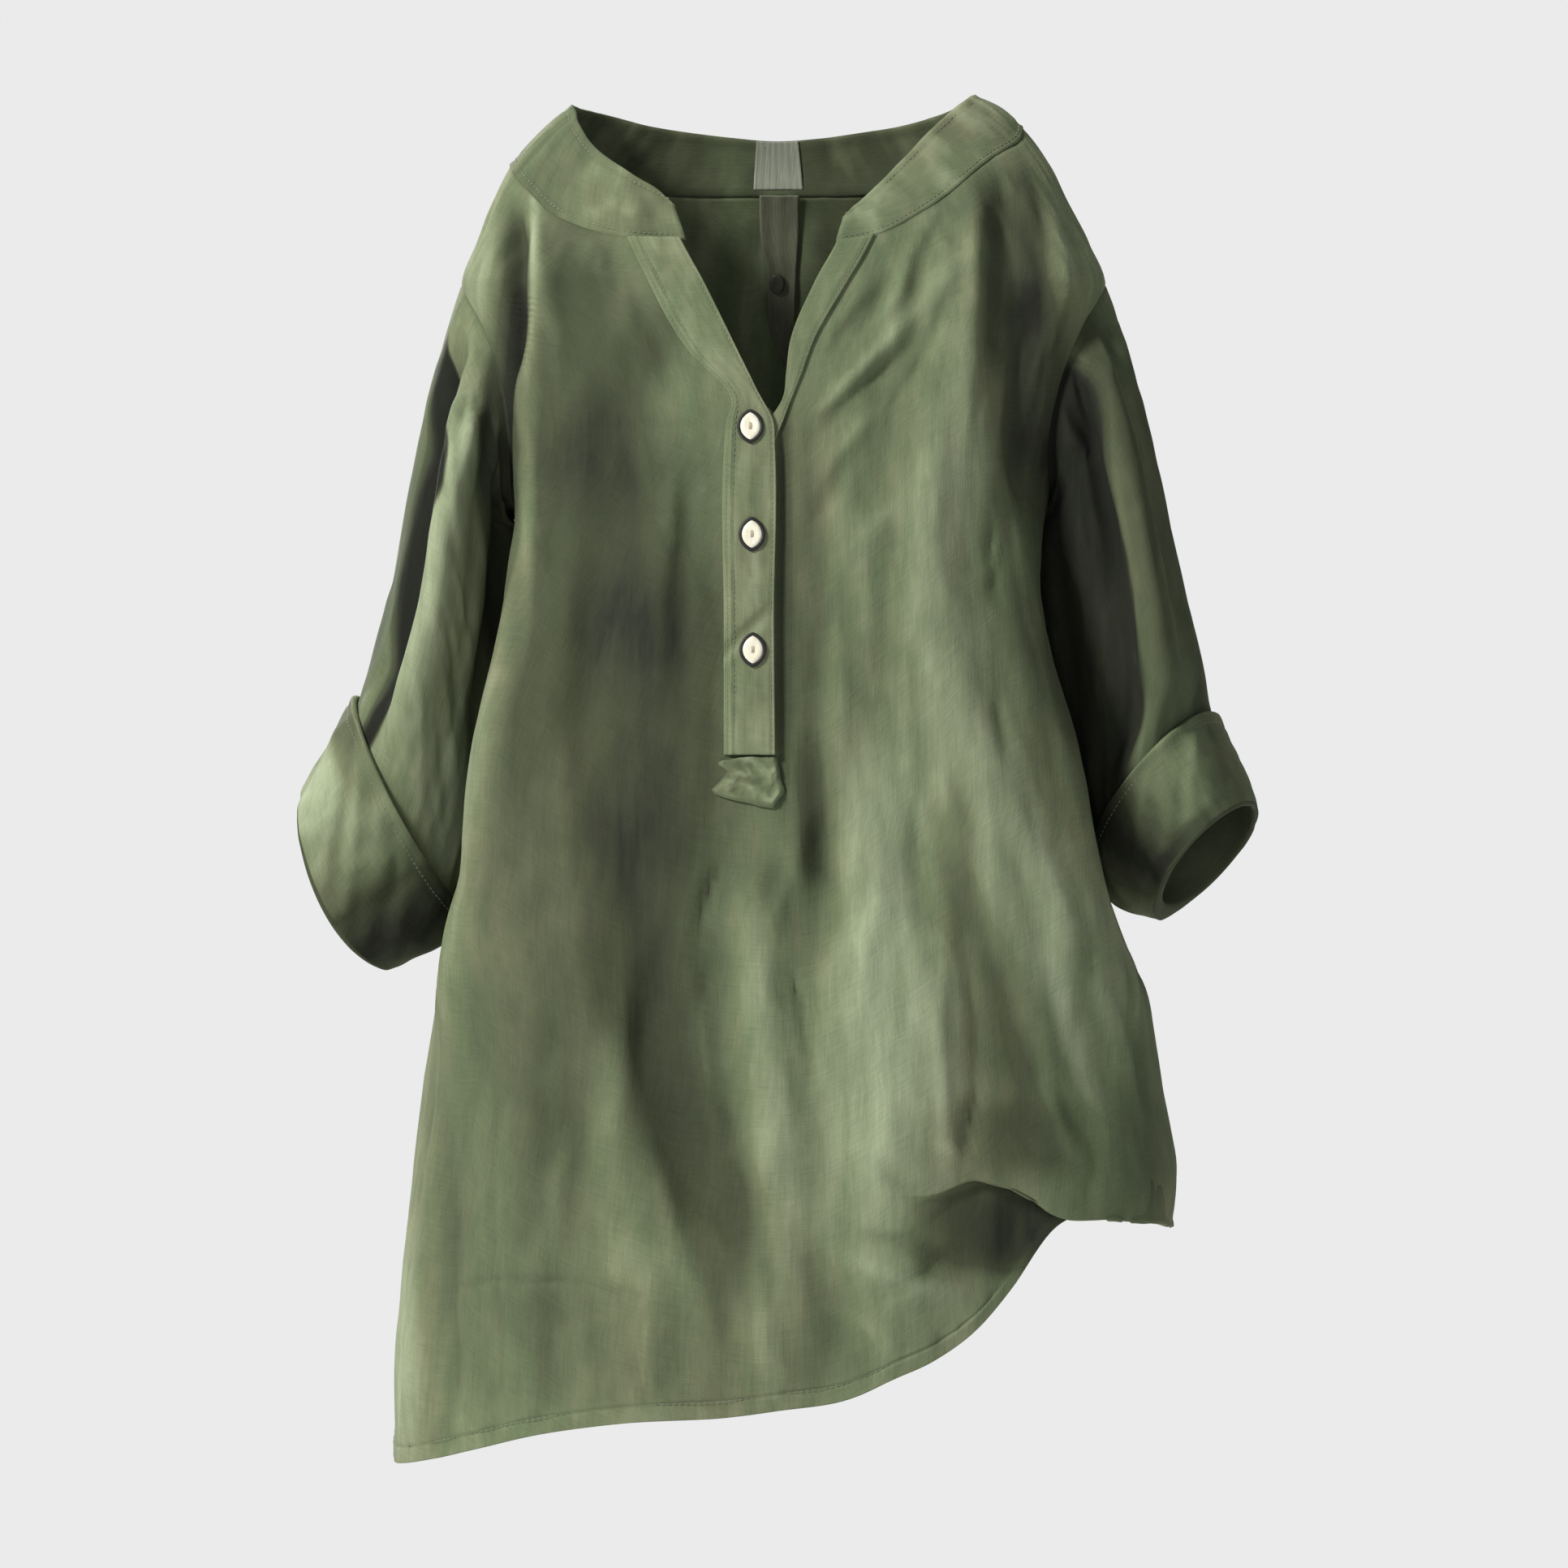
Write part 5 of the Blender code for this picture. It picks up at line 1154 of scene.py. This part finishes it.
def make_band(cloth):
    angles = np.linspace(73, -259, 280)
    shares = np.linspace(-0.02, 1.0, 18)
    grid, out = band_surface(angles, shares)
    rounded = 0.22 * (ease((angles - 66) / 8) ** 2 + ease((-253 - angles) / 7) ** 2)
    grid = grid - (grid - grid[1][None]) * (rounded * ease((shares[:, None] - 0.2) / 0.8))[..., None]
    u, v = np.meshgrid(angles * 1.9, shares)
    small = rumples(u, v * BAND_HIGH, BAND_RUMPLES)
    small = small + rumples(u, v * BAND_HIGH, BAND_END_RUMPLE) * hump(angles, 62, 16)
    lower, upper = (hump(v, seam, 0.035) for seam in BAND_SEAMS)
    seams = 0.35 * ease((v - 0.93) / 0.05) - 0.45 * lower - 0.35 * upper
    raised = 0.75 * ease((0.1 - v) / 0.12)
    # Painted light and shade from the band's relief, with painted shade at its back inside the neck and on its
    # left front
    painted_shading_and_mottle = small + seams - 2.0 * ease((88 - np.abs(angles + 90)) / 30) - 0.8 * hump(angles, 36, 34)
    grid = grid + out * (small * ease(v / 0.15) + seams + raised)[..., None]
    return add_strip("neck_band", grid, out, cloth, ["collar_band"], BAND_CLOTH - 0.2, (painted_shading_and_mottle,))


def strip_on_front(levels, left, right, shares, height):
    """Points over the front's outer face, between two edges, at a height over it."""
    x = between(left[:, None], right[:, None], shares)
    level = np.broadcast_to(levels[:, None], x.shape)
    seam = through(angle_of(x, level), NECK_SEAM, 1) - 0.6
    turned = between(level, seam + (level - levels[0]), ease((level - STRIPS_TURN_Z) / 28))
    return over_skin(x, np.where(level > STRIPS_TURN_Z, turned, level), height)


def upper_strip(levels, shares, lift=0.0):
    left, right, height = (through(levels, PLACKET_OVER, i) for i in (1, 2, 3))
    right = right - 2.8 * ease((levels + 190) / 22)
    raised = between(0.9, height[:, None] + 1.9, ease(shares / 0.16))
    return strip_on_front(levels, left, right, shares, raised + lift)


def make_upper_strip(cloth):
    levels = steps_over((-82, -187, 90), (-188.5, -374, 130))
    shares = steps_over((0, 0.3, 12), (0.3, 0.85, 12), (0.85, 1, 8))
    v, u = np.meshgrid(shares, levels)
    lift = rumples(v * 28, u, UPPER_RUMPLES) * ease(v / 0.2) * ease((1.1 - v) / 0.3)
    for share, depth, width, _ in UPPER_SEAMS:
        lift = lift - depth * hump(v, share, width)
    # two pulls at the third button
    for height, level, width, slope in ((-0.9, -302, 3.2, 26), (0.7, -310, 4, 24)):
        lift = lift + height * hump(u + (0.5 - v) * slope, level, width) * ease((1.1 - v) / 0.4)
    strip = upper_strip(levels, shares, lift)
    # Painted light and shade from the strip's relief
    return add_strip("placket_upper_strip", *strip, cloth, ["placket_over"], STRIP_CLOTH, (0.15 + lift,))


def make_facing(cloth):
    levels = steps_over((-82, -215, 90), (-217, -372, 40))
    left, right = (through(levels, PLACKET_UNDER, i) for i in (1, 2))
    shares = np.linspace(0, 1, 16)
    v, u = np.meshgrid(shares, levels)
    small = rumples(v * 16, u, FACING_RUMPLE) - 0.35 * hump(v, FACING_SEAMS[1], 0.05)
    strip = strip_on_front(levels, left, right, shares, FACING_HEIGHT + small)
    # Painted light and shade from the facing's relief
    return add_strip("placket_facing", *strip, cloth, ["placket_under"], STRIP_CLOTH, (small,))


def make_tab(cloth):
    """Crumpled end that closes the placket's foot, with an uneven outline."""
    shares = np.linspace(0, 1, 44)
    v, u = np.meshgrid(shares, shares)
    wide, high = v * 40, u * 28
    top, foot = (np.interp(v, TAB_FOOT_AT, edge) for edge in (TAB_TOP, TAB_FOOT))
    left, right = (np.interp(u, TAB_SIDE_AT, edge) for edge in (TAB_LEFT, TAB_RIGHT))
    x = between(left, right, v) + 0.5 * rumple(wide, high, 9, 7, 142)
    level = between(top, foot, u) + 0.5 * rumple(wide, high, 7, 9, 143)
    pile = TAB_PILE + 0.8 * np.sin(u * 11 + 2.6 * np.sin(v * 4 + 0.6)) * np.sin(v * math.pi) ** 0.5
    pile = pile + rumples(wide, high, TAB_RUMPLES)
    pile = pile - 1.4 * hump(u - 0.2 * v, 0.42, 0.06) * ease((0.8 - v) / 0.3)
    pile = between(0.9, pile, ease(v / 0.08) * ease((1 - v) / 0.08) * (0.25 + 0.75 * ease((1 - u) / 0.12)))
    # Painted light and shade from the tab's pile
    painted_shading_and_mottle = (pile - TAB_PILE) / 1.6
    return add_strip("placket_tab", *over_skin(x, level, pile), cloth, ["placket_end"], TAB_CLOTH, (painted_shading_and_mottle,))


def make_tape(pale):
    """Ribbed tape on the inside of the band."""
    shares = np.linspace(0.14, 0.985, 40)
    grid, out = band_surface(np.linspace(*TAPE_ANGLES, 26), shares)
    v, u = np.meshgrid(np.linspace(0, 1, 26), shares)
    ribs = 0.14 * np.cos(v * 2 * math.pi * 7) + 0.22 * (hump(v, 0, 0.06) + hump(v, 1, 0.06))
    grid = grid - out * (TAPE_INSET + ribs + rumples(v * 20, u * 28, TAPE_RUMPLE))[..., None]
    return add_strip("back_neck_tape", grid, -out, pale, ["neck_tape"], TAPE_CLOTH, slot="tape_cloth")


def make_tail(dark):
    """Loose tail of the tape, on the inside of the back."""
    levels = np.linspace(-52.5, -150, 90)
    left, right = (through(levels, TAIL, i) for i in (1, 2))
    shares = np.linspace(0, 1, 16)
    x = between(left[:, None], right[:, None], shares)
    level = np.broadcast_to(levels[:, None], x.shape)
    inset = between(BAND_CLOTH, 1.5, ease((-56 - level) / 20)) + 0.6
    inset = inset + 0.2 * np.cos(shares * 2 * math.pi * 2) + rumples(x, level, TAIL_RUMPLE)
    grid, out = over_skin(x, level, -inset, back=True)
    return add_strip("neck_tape_tail", grid, -out, dark, ["neck_tail"], TAPE_CLOTH, slot="tail_cloth")


# ---------------------------------------------------------------- buttons

def place_on(x, level, height, inside_back=False):
    """Origin and axes (across, up, out) of something flat on the front or on the inside of the back."""
    way = -1 if inside_back else 1
    origin, out = over_skin(x, level, height * way, inside_back)
    out = out * way
    up = unit(np.array([0, 0, 1.0]) - out * out[2])
    return origin, np.cross(up, out), up, out


def pointed_oval(name, place, profile, halves, point=1.0):
    """Mesh of a turned piece whose two ends draw to a soft point: the profile holds shares and heights."""
    origin, across, up, out = place
    turn = np.linspace(0, 2 * math.pi, OVAL_POINTS, endpoint=False)[:, None]
    c, s = np.cos(turn), np.sin(turn)
    flat = halves[0] * np.sign(c) * np.abs(c) ** point * across + halves[1] * s * up
    grid = np.stack([origin + share * flat + high * out for share, high in profile])
    return stitched_mesh(name, [grid], True, looks_in(grid, 0, grid[0] - grid[0].mean(0), True))


def make_button(number, x, level, rim, face, thread):
    place = place_on(x, level, BUTTON_HEIGHT)
    origin, across, up, out = place
    name = f"button_{number}"
    edge = [(1.0 + 0.15 * math.cos(t), 0.7 + 0.8 * math.sin(t)) for t in np.linspace(-1.5, 3.4, 16)]
    mesh = pointed_oval(f"{name}_rim", place, edge, *RIM_OVAL)
    add_piece(f"{name}_rim", mesh, rim, [name])
    mesh = pointed_oval(f"{name}_face", place, BUTTON_CROWN, *FACE_OVAL)
    add_piece(f"{name}_face", mesh, face, [f"button_face_{number}"])
    ends = [origin + out * 1.75 + across * sx * 0.5 + up * sy * 2.2 for sx in (-1, 0, 1) for sy in (-1, 1)]
    strokes = [(ends[a], ends[b], out) for a, b in ((0, 1), (2, 3), (4, 5), (0, 5))]
    stitches_mesh(f"{name}_thread", strokes, BUTTON_THREAD, thread)


def make_spare_button(rim):
    x, level, *halves = SPARE_BUTTON
    place = place_on(x, level, SPARE_HEIGHT, inside_back=True)
    mesh = pointed_oval("tail_button", place, SPARE_CROWN, halves)
    add_piece("tail_button", mesh, rim, ["spare_button"])


# ---------------------------------------------------------------- sewing

def stitches_mesh(name, strokes, radius, finish):
    """Short raised stitches, each from one point to another, rounded and sunk at both ends."""
    points, faces = [], []
    turns = np.linspace(0, 2 * math.pi, STITCH_SIDES, endpoint=False)
    last = STITCH_SIDES * (len(STITCH_RINGS) - 1)
    for a, b, out in strokes:
        side = np.cross(unit(b - a), out)
        start = len(points)
        for share, size, sink in STITCH_RINGS:
            middle = a + (b - a) * share + out * sink * radius * 1.6
            points += [middle + radius * size * (math.cos(t) * side + math.sin(t) * out) for t in turns]
        for low in range(start, start + last, STITCH_SIDES):
            high = low + STITCH_SIDES
            for j in range(STITCH_SIDES):
                k = (j + 1) % STITCH_SIDES
                faces.append((low + j, high + j, high + k, low + k))
        faces.append([start + j for j in range(STITCH_SIDES)])
        faces.append([start + last + j for j in reversed(range(STITCH_SIDES))])
    mesh = bpy.data.meshes.new(name)
    mesh.from_pydata((np.array(points) * MM).tolist(), [], faces)
    mesh.shade_smooth()
    add_piece(name, mesh, finish)


def run_of_stitches(points, out, pitch=3.1, length=2.1):
    """Strokes of a running stitch along a line that lies on the cloth."""
    run = run_along(points)
    starts = np.arange(pitch / 2, run[-1] - length, pitch)
    first, second = (spread_along(at, run, points) for at in (starts, starts + length))
    return list(zip(first, second, unit(spread_along(starts + length / 2, run, out))))


def make_sewing(thread, cuffs):
    lines = []
    levels = steps_over((-84, -187, 80), (-188, -373, 120))
    for share, _, _, high in UPPER_SEAMS:
        grid, out = upper_strip(levels, np.array([share, share + 0.001]), high)
        lines.append((grid[:, 0], out[:, 0]))
    levels = np.linspace(-84, -186, 80)
    left, right = (through(levels, PLACKET_UNDER, i) for i in (1, 2))
    for share in FACING_SEAMS:
        shares = np.array([share, share + 0.01])
        grid, out = strip_on_front(levels, left, right, shares, np.full((80, 2), FACING_HEIGHT - 0.2))
        lines.append((grid[:, 0], out[:, 0]))
    angles = np.linspace(72.6, -258.6, 500)
    for share, high in zip(BAND_SEAMS, (0.2, -0.2)):
        grid, out = band_surface(angles, np.array([share, share + 0.01]))
        lines.append((grid[0] + out[0] * high, out[0]))
    around = np.linspace(150, 466, 640)
    foot, hem = (hem_and_tuck(around, column) for column in (TUCK_FOOT, HEM_LEVEL))
    row = 5 + np.clip(1 - (HEM_BAND + 0.4) / (foot - hem), 0, 1)
    line, _ = panel_points(around, row, np.zeros_like(row))
    out = body_normal(around, row)
    lines.append((line + out * 0.1, out, 3.4, 2.3))
    for outer, out in cuffs:
        i = int(CUFF_SEAM * (CUFF_ROWS - 1))
        lines.append([np.concatenate([loops[i], loops[i][:1]]) for loops in (outer, out)])
    strokes = [stroke for line in lines for stroke in run_of_stitches(*line)]
    stitches_mesh("sewing", strokes, SEWING_THREAD, thread)


# ---------------------------------------------------------------- finishes

class Value:
    """A socket's value that adds its Math nodes when it is used in a sum."""

    def __init__(self, nodes, socket):
        self.nodes, self.socket = nodes, socket

    def _with(self, operation, *others):
        return self.nodes.add("ShaderNodeMath", {"operation": operation}, dict(enumerate(others)))

    def __add__(self, other):
        return self._with("ADD", self, other)

    __radd__ = __add__

    def __sub__(self, other):
        return self._with("SUBTRACT", self, other)

    def __rsub__(self, other):
        return self._with("SUBTRACT", other, self)

    def __mul__(self, other):
        return self._with("MULTIPLY", self, other)

    __rmul__ = __mul__

    def held(self):
        """Kept between 0 and 1."""
        return self.nodes.add("ShaderNodeClamp", {}, {"Value": self})


class Nodes:
    """Nodes of a material or of the world."""

    def __init__(self, owner):
        owner.use_nodes = True
        self.owner, self.tree = owner, owner.node_tree
        self.tree.nodes.clear()

    def add(self, kind, settings, sockets, out=0):
        node = self.tree.nodes.new(kind)
        for key, value in settings.items():
            setattr(node, key, value)
        for key, value in sockets.items():
            if isinstance(value, Value):
                self.tree.links.new(value.socket, node.inputs[key])
            else:
                node.inputs[key].default_value = value
        return Value(self, node.outputs[out]) if node.outputs else None


class Finish(Nodes):
    """One finish of the tunic's pieces."""

    def __init__(self, name):
        super().__init__(bpy.data.materials.new(name))

    def place(self):
        return self.add("ShaderNodeTexCoord", {}, {}, out=3)

    def grain(self):
        return self.add("ShaderNodeUVMap", {"uv_map": "grain"}, {})

    def noise(self, place, scale, detail, roughness):
        stretched = self.add("ShaderNodeVectorMath", {"operation": "MULTIPLY"}, {0: place, 1: scale})
        sockets = {"Vector": stretched, "Scale": 1.0, "Detail": detail, "Roughness": roughness}
        return self.add("ShaderNodeTexNoise", {}, sockets)

    def mixed(self, share, a, b, blend_type="MIX"):
        """Colour between two colours."""
        settings = {"data_type": "RGBA", "blend_type": blend_type}
        return self.add("ShaderNodeMix", settings, {0: share, 6: a, 7: b}, out=2)

    def grey(self, value):
        return self.add("ShaderNodeCombineColor", {}, {0: value, 1: value, 2: value})

    def bump(self, height, strength, distance):
        return self.add("ShaderNodeBump", {}, {"Strength": strength, "Distance": distance, "Height": height})

    def done(self, sockets):
        shader = self.add("ShaderNodeBsdfPrincipled", {}, sockets)
        self.add("ShaderNodeOutputMaterial", {}, {"Surface": shader})
        return self.owner


def woven_finish():
    """Washed slubby weave: soft upright clouds of two tones, painted highlights on the folds that stand up and
    painted shade between them and wherever the pieces carry it, with slubs along both threads and a fine
    grain."""
    f = Finish("washed_linen")
    place, grain = f.place(), f.grain()
    # Painted light and shade that each piece carries
    painted_shading = f.add("ShaderNodeAttribute", {"attribute_name": "painted_shading_and_mottle"}, {}, out=2)
    clouds = f.noise(place, (15, 15, 5), 3, 0.6) - 0.5
    streaks = f.noise(place, (85, 85, 8), 3, 0.6) - 0.5
    dabs = f.noise(place, (60, 60, 34), 2, 0.55) - 0.5
    warp = f.noise(grain, (1500, 75, 1), 2, 0.6) - 0.5
    weft = f.noise(grain, (75, 1500, 1), 2, 0.6) - 0.5
    warp_slub = f.noise(grain, (520, 26, 1), 2, 0.5) - 0.5
    weft_slub = f.noise(grain, (26, 520, 1), 2, 0.5) - 0.5
    tone = (clouds * 2.6 + streaks * 1.4 + dabs * 0.8 + 0.45).held()
    # Painted light and shade, with random mottling
    painted_shading_and_mottle = painted_shading * (streaks * 0.4 + 0.42) + clouds * 0.45 + streaks * 0.5 + dabs * 0.35
    colour = f.mixed((painted_shading_and_mottle + 0.05).held(), f.mixed(tone, COOL_OLIVE, WARM_OLIVE), HIGHLIGHT_AND_PALE_OLIVE)
    # Darker tones of painted shade
    for start, strength, shading_paint in PAINTED_SHADE_TONES:
        colour = f.mixed((start - painted_shading_and_mottle).held() * strength, colour, shading_paint)
    light = warp * 0.4 + weft * 0.4 + warp_slub * 0.2 + weft_slub * 0.15 + streaks * 0.25 + dabs * 0.22
    height = warp * 0.5 + weft * 0.5 + warp_slub * 0.3 + weft_slub * 0.25 + dabs * 0.8
    sockets = {
        "Base Color": f.mixed(1.0, colour, f.grey(light + 1.0), "MULTIPLY"),
        "Roughness": 0.85,
        "Specular IOR Level": 0.12,
        "Sheen Weight": 0.03,
        "Sheen Roughness": 0.4,
        "Sheen Tint": (0.7, 0.85, 0.55, 1.0),
        "Normal": f.bump(height, 0.5, 0.0006),
    }
    return f.done(sockets)


def tape_finish(name):
    """Close ribbed tape with fine lengthwise threads."""
    f = Finish(name)
    grain = f.grain()
    threads = f.noise(grain, (1300, 60, 1), 2, 0.6) - 0.5
    blots = f.noise(grain, (160, 70, 1), 3, 0.6) - 0.5
    sockets = {
        "Base Color": f.mixed((threads * 1.6 + blots + 0.5).held(), *TONES[name]),
        "Roughness": 0.75,
        "Sheen Weight": 0.06,
        "Normal": f.bump(threads + blots * 0.5, 0.5, 0.0004),
    }
    return f.done(sockets)


def shell_finish():
    """Creamy polished button face with faint cloudy growth lines."""
    f = Finish("cream_shell")
    place = f.place()
    clouds = f.noise(place, (260, 260, 120), 3, 0.6)
    lines = f.noise(place, (900, 300, 160), 2, 0.5)
    share = ((clouds - 0.5) * 1.8 + (lines - 0.5) * 0.8 + 0.4).held()
    sockets = {
        "Base Color": f.mixed(share, *TONES["cream_shell"]),
        "Roughness": 0.28 + 0.14 * clouds,
        "Coat Weight": 0.4,
        "Coat Roughness": 0.15,
        "Normal": f.bump(clouds, 0.12, 0.0002),
    }
    return f.done(sockets)


def rim_finish(name):
    """Dark resin, a little scuffed."""
    f = Finish(name)
    scuffs = f.noise(f.place(), (700, 700, 300), 3, 0.65)
    sockets = {
        "Base Color": f.mixed(scuffs, *TONES[name]),
        "Roughness": 0.42 + 0.2 * scuffs,
        "Specular IOR Level": 0.3,
        "Normal": f.bump(scuffs, 0.15, 0.0002),
    }
    return f.done(sockets)


def thread_finish(name):
    """Twisted sewing thread."""
    f = Finish(name)
    twist = f.noise(f.place(), (1500, 1500, 1500), 2, 0.6)
    sockets = {
        "Base Color": f.mixed(twist, *TONES[name]),
        "Roughness": 0.7,
        "Sheen Weight": 0.3,
        "Normal": f.bump(twist, 0.4, 0.0002),
    }
    return f.done(sockets)


# ---------------------------------------------------------------- floor, camera and light

def make_floor():
    mesh = bpy.data.meshes.new("floor")
    turn = np.linspace(0, 2 * math.pi, 96, endpoint=False)
    ring = np.stack([FLOOR_RADIUS * np.cos(turn), FLOOR_RADIUS * np.sin(turn), np.full(96, FLOOR_Z)], -1)
    mesh.from_pydata(ring.tolist(), [], [list(range(96))])
    mesh.materials.append(Finish("pale_floor").done({"Base Color": (0.8, 0.8, 0.8, 1), "Roughness": 0.9}))
    put_in_scene("floor", mesh)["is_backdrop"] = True


def make_light():
    for name, place, size, power, tone in LAMPS:
        lamp = bpy.data.lights.new(name, "AREA")
        lamp.shape = "DISK"
        lamp.size = size
        lamp.energy = power
        lamp.color = tone
        holder = put_in_scene(name, lamp)
        holder.location = place
        holder.rotation_euler = (Vector(place) - Vector(LAMPS_AIM)).to_track_quat("Z", "Y").to_euler()
    world = Nodes(bpy.data.worlds.new("studio"))
    seen, soft = (world.add("ShaderNodeBackground", {}, {"Color": tone}) for tone in (SEEN_GREY, LIGHT_GREY))
    seen_by_camera = world.add("ShaderNodeLightPath", {}, {})
    mix = world.add("ShaderNodeMixShader", {}, {0: seen_by_camera, 1: soft, 2: seen})
    world.add("ShaderNodeOutputWorld", {}, {"Surface": mix})
    bpy.context.scene.world = world.owner
    bpy.context.scene.view_settings.view_transform = "Standard"


def make_camera():
    camera = bpy.data.cameras.new("camera")
    camera.sensor_width = 36
    camera.lens = CAMERA_LENS
    holder = put_in_scene("camera", camera)
    holder.location = CAMERA_PLACE
    holder.rotation_euler = (math.radians(90), 0, 0)
    bpy.context.scene.camera = holder


# ---------------------------------------------------------------- the whole tunic

def make_tunic():
    cloth = woven_finish()
    pieces = [make_panel(node, cloth) for node in ("front", "back")]
    pieces += [make_sleeve(f"cloth_sleeve_{way}", side, cloth, f"sleeve_{way}") for way, side in SIDES]
    made = [make_cuff(f"turned_cuff_{way}", side, cloth, f"cuff_{way}") for way, side in SIDES]
    pieces += [cuff for cuff, _ in made]
    pieces += [make(cloth) for make in (make_band, make_upper_strip, make_facing, make_tab)]
    pieces.append(make_tape(tape_finish("pale_tape")))
    pieces.append(make_tail(tape_finish("dark_tape")))
    rim, face, beige = rim_finish("dark_resin"), shell_finish(), thread_finish("beige_thread")
    for number, (x, level) in enumerate(BUTTON_PLACES, 1):
        make_button(number, x, level, rim, face, beige)
    make_spare_button(rim_finish("olive_resin"))
    make_sewing(thread_finish("green_thread"), [outside for _, outside in made])


make_camera()
make_light()
make_floor()
make_tunic()
[list(corner) for corner in cad_box]
[list(corner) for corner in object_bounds()]
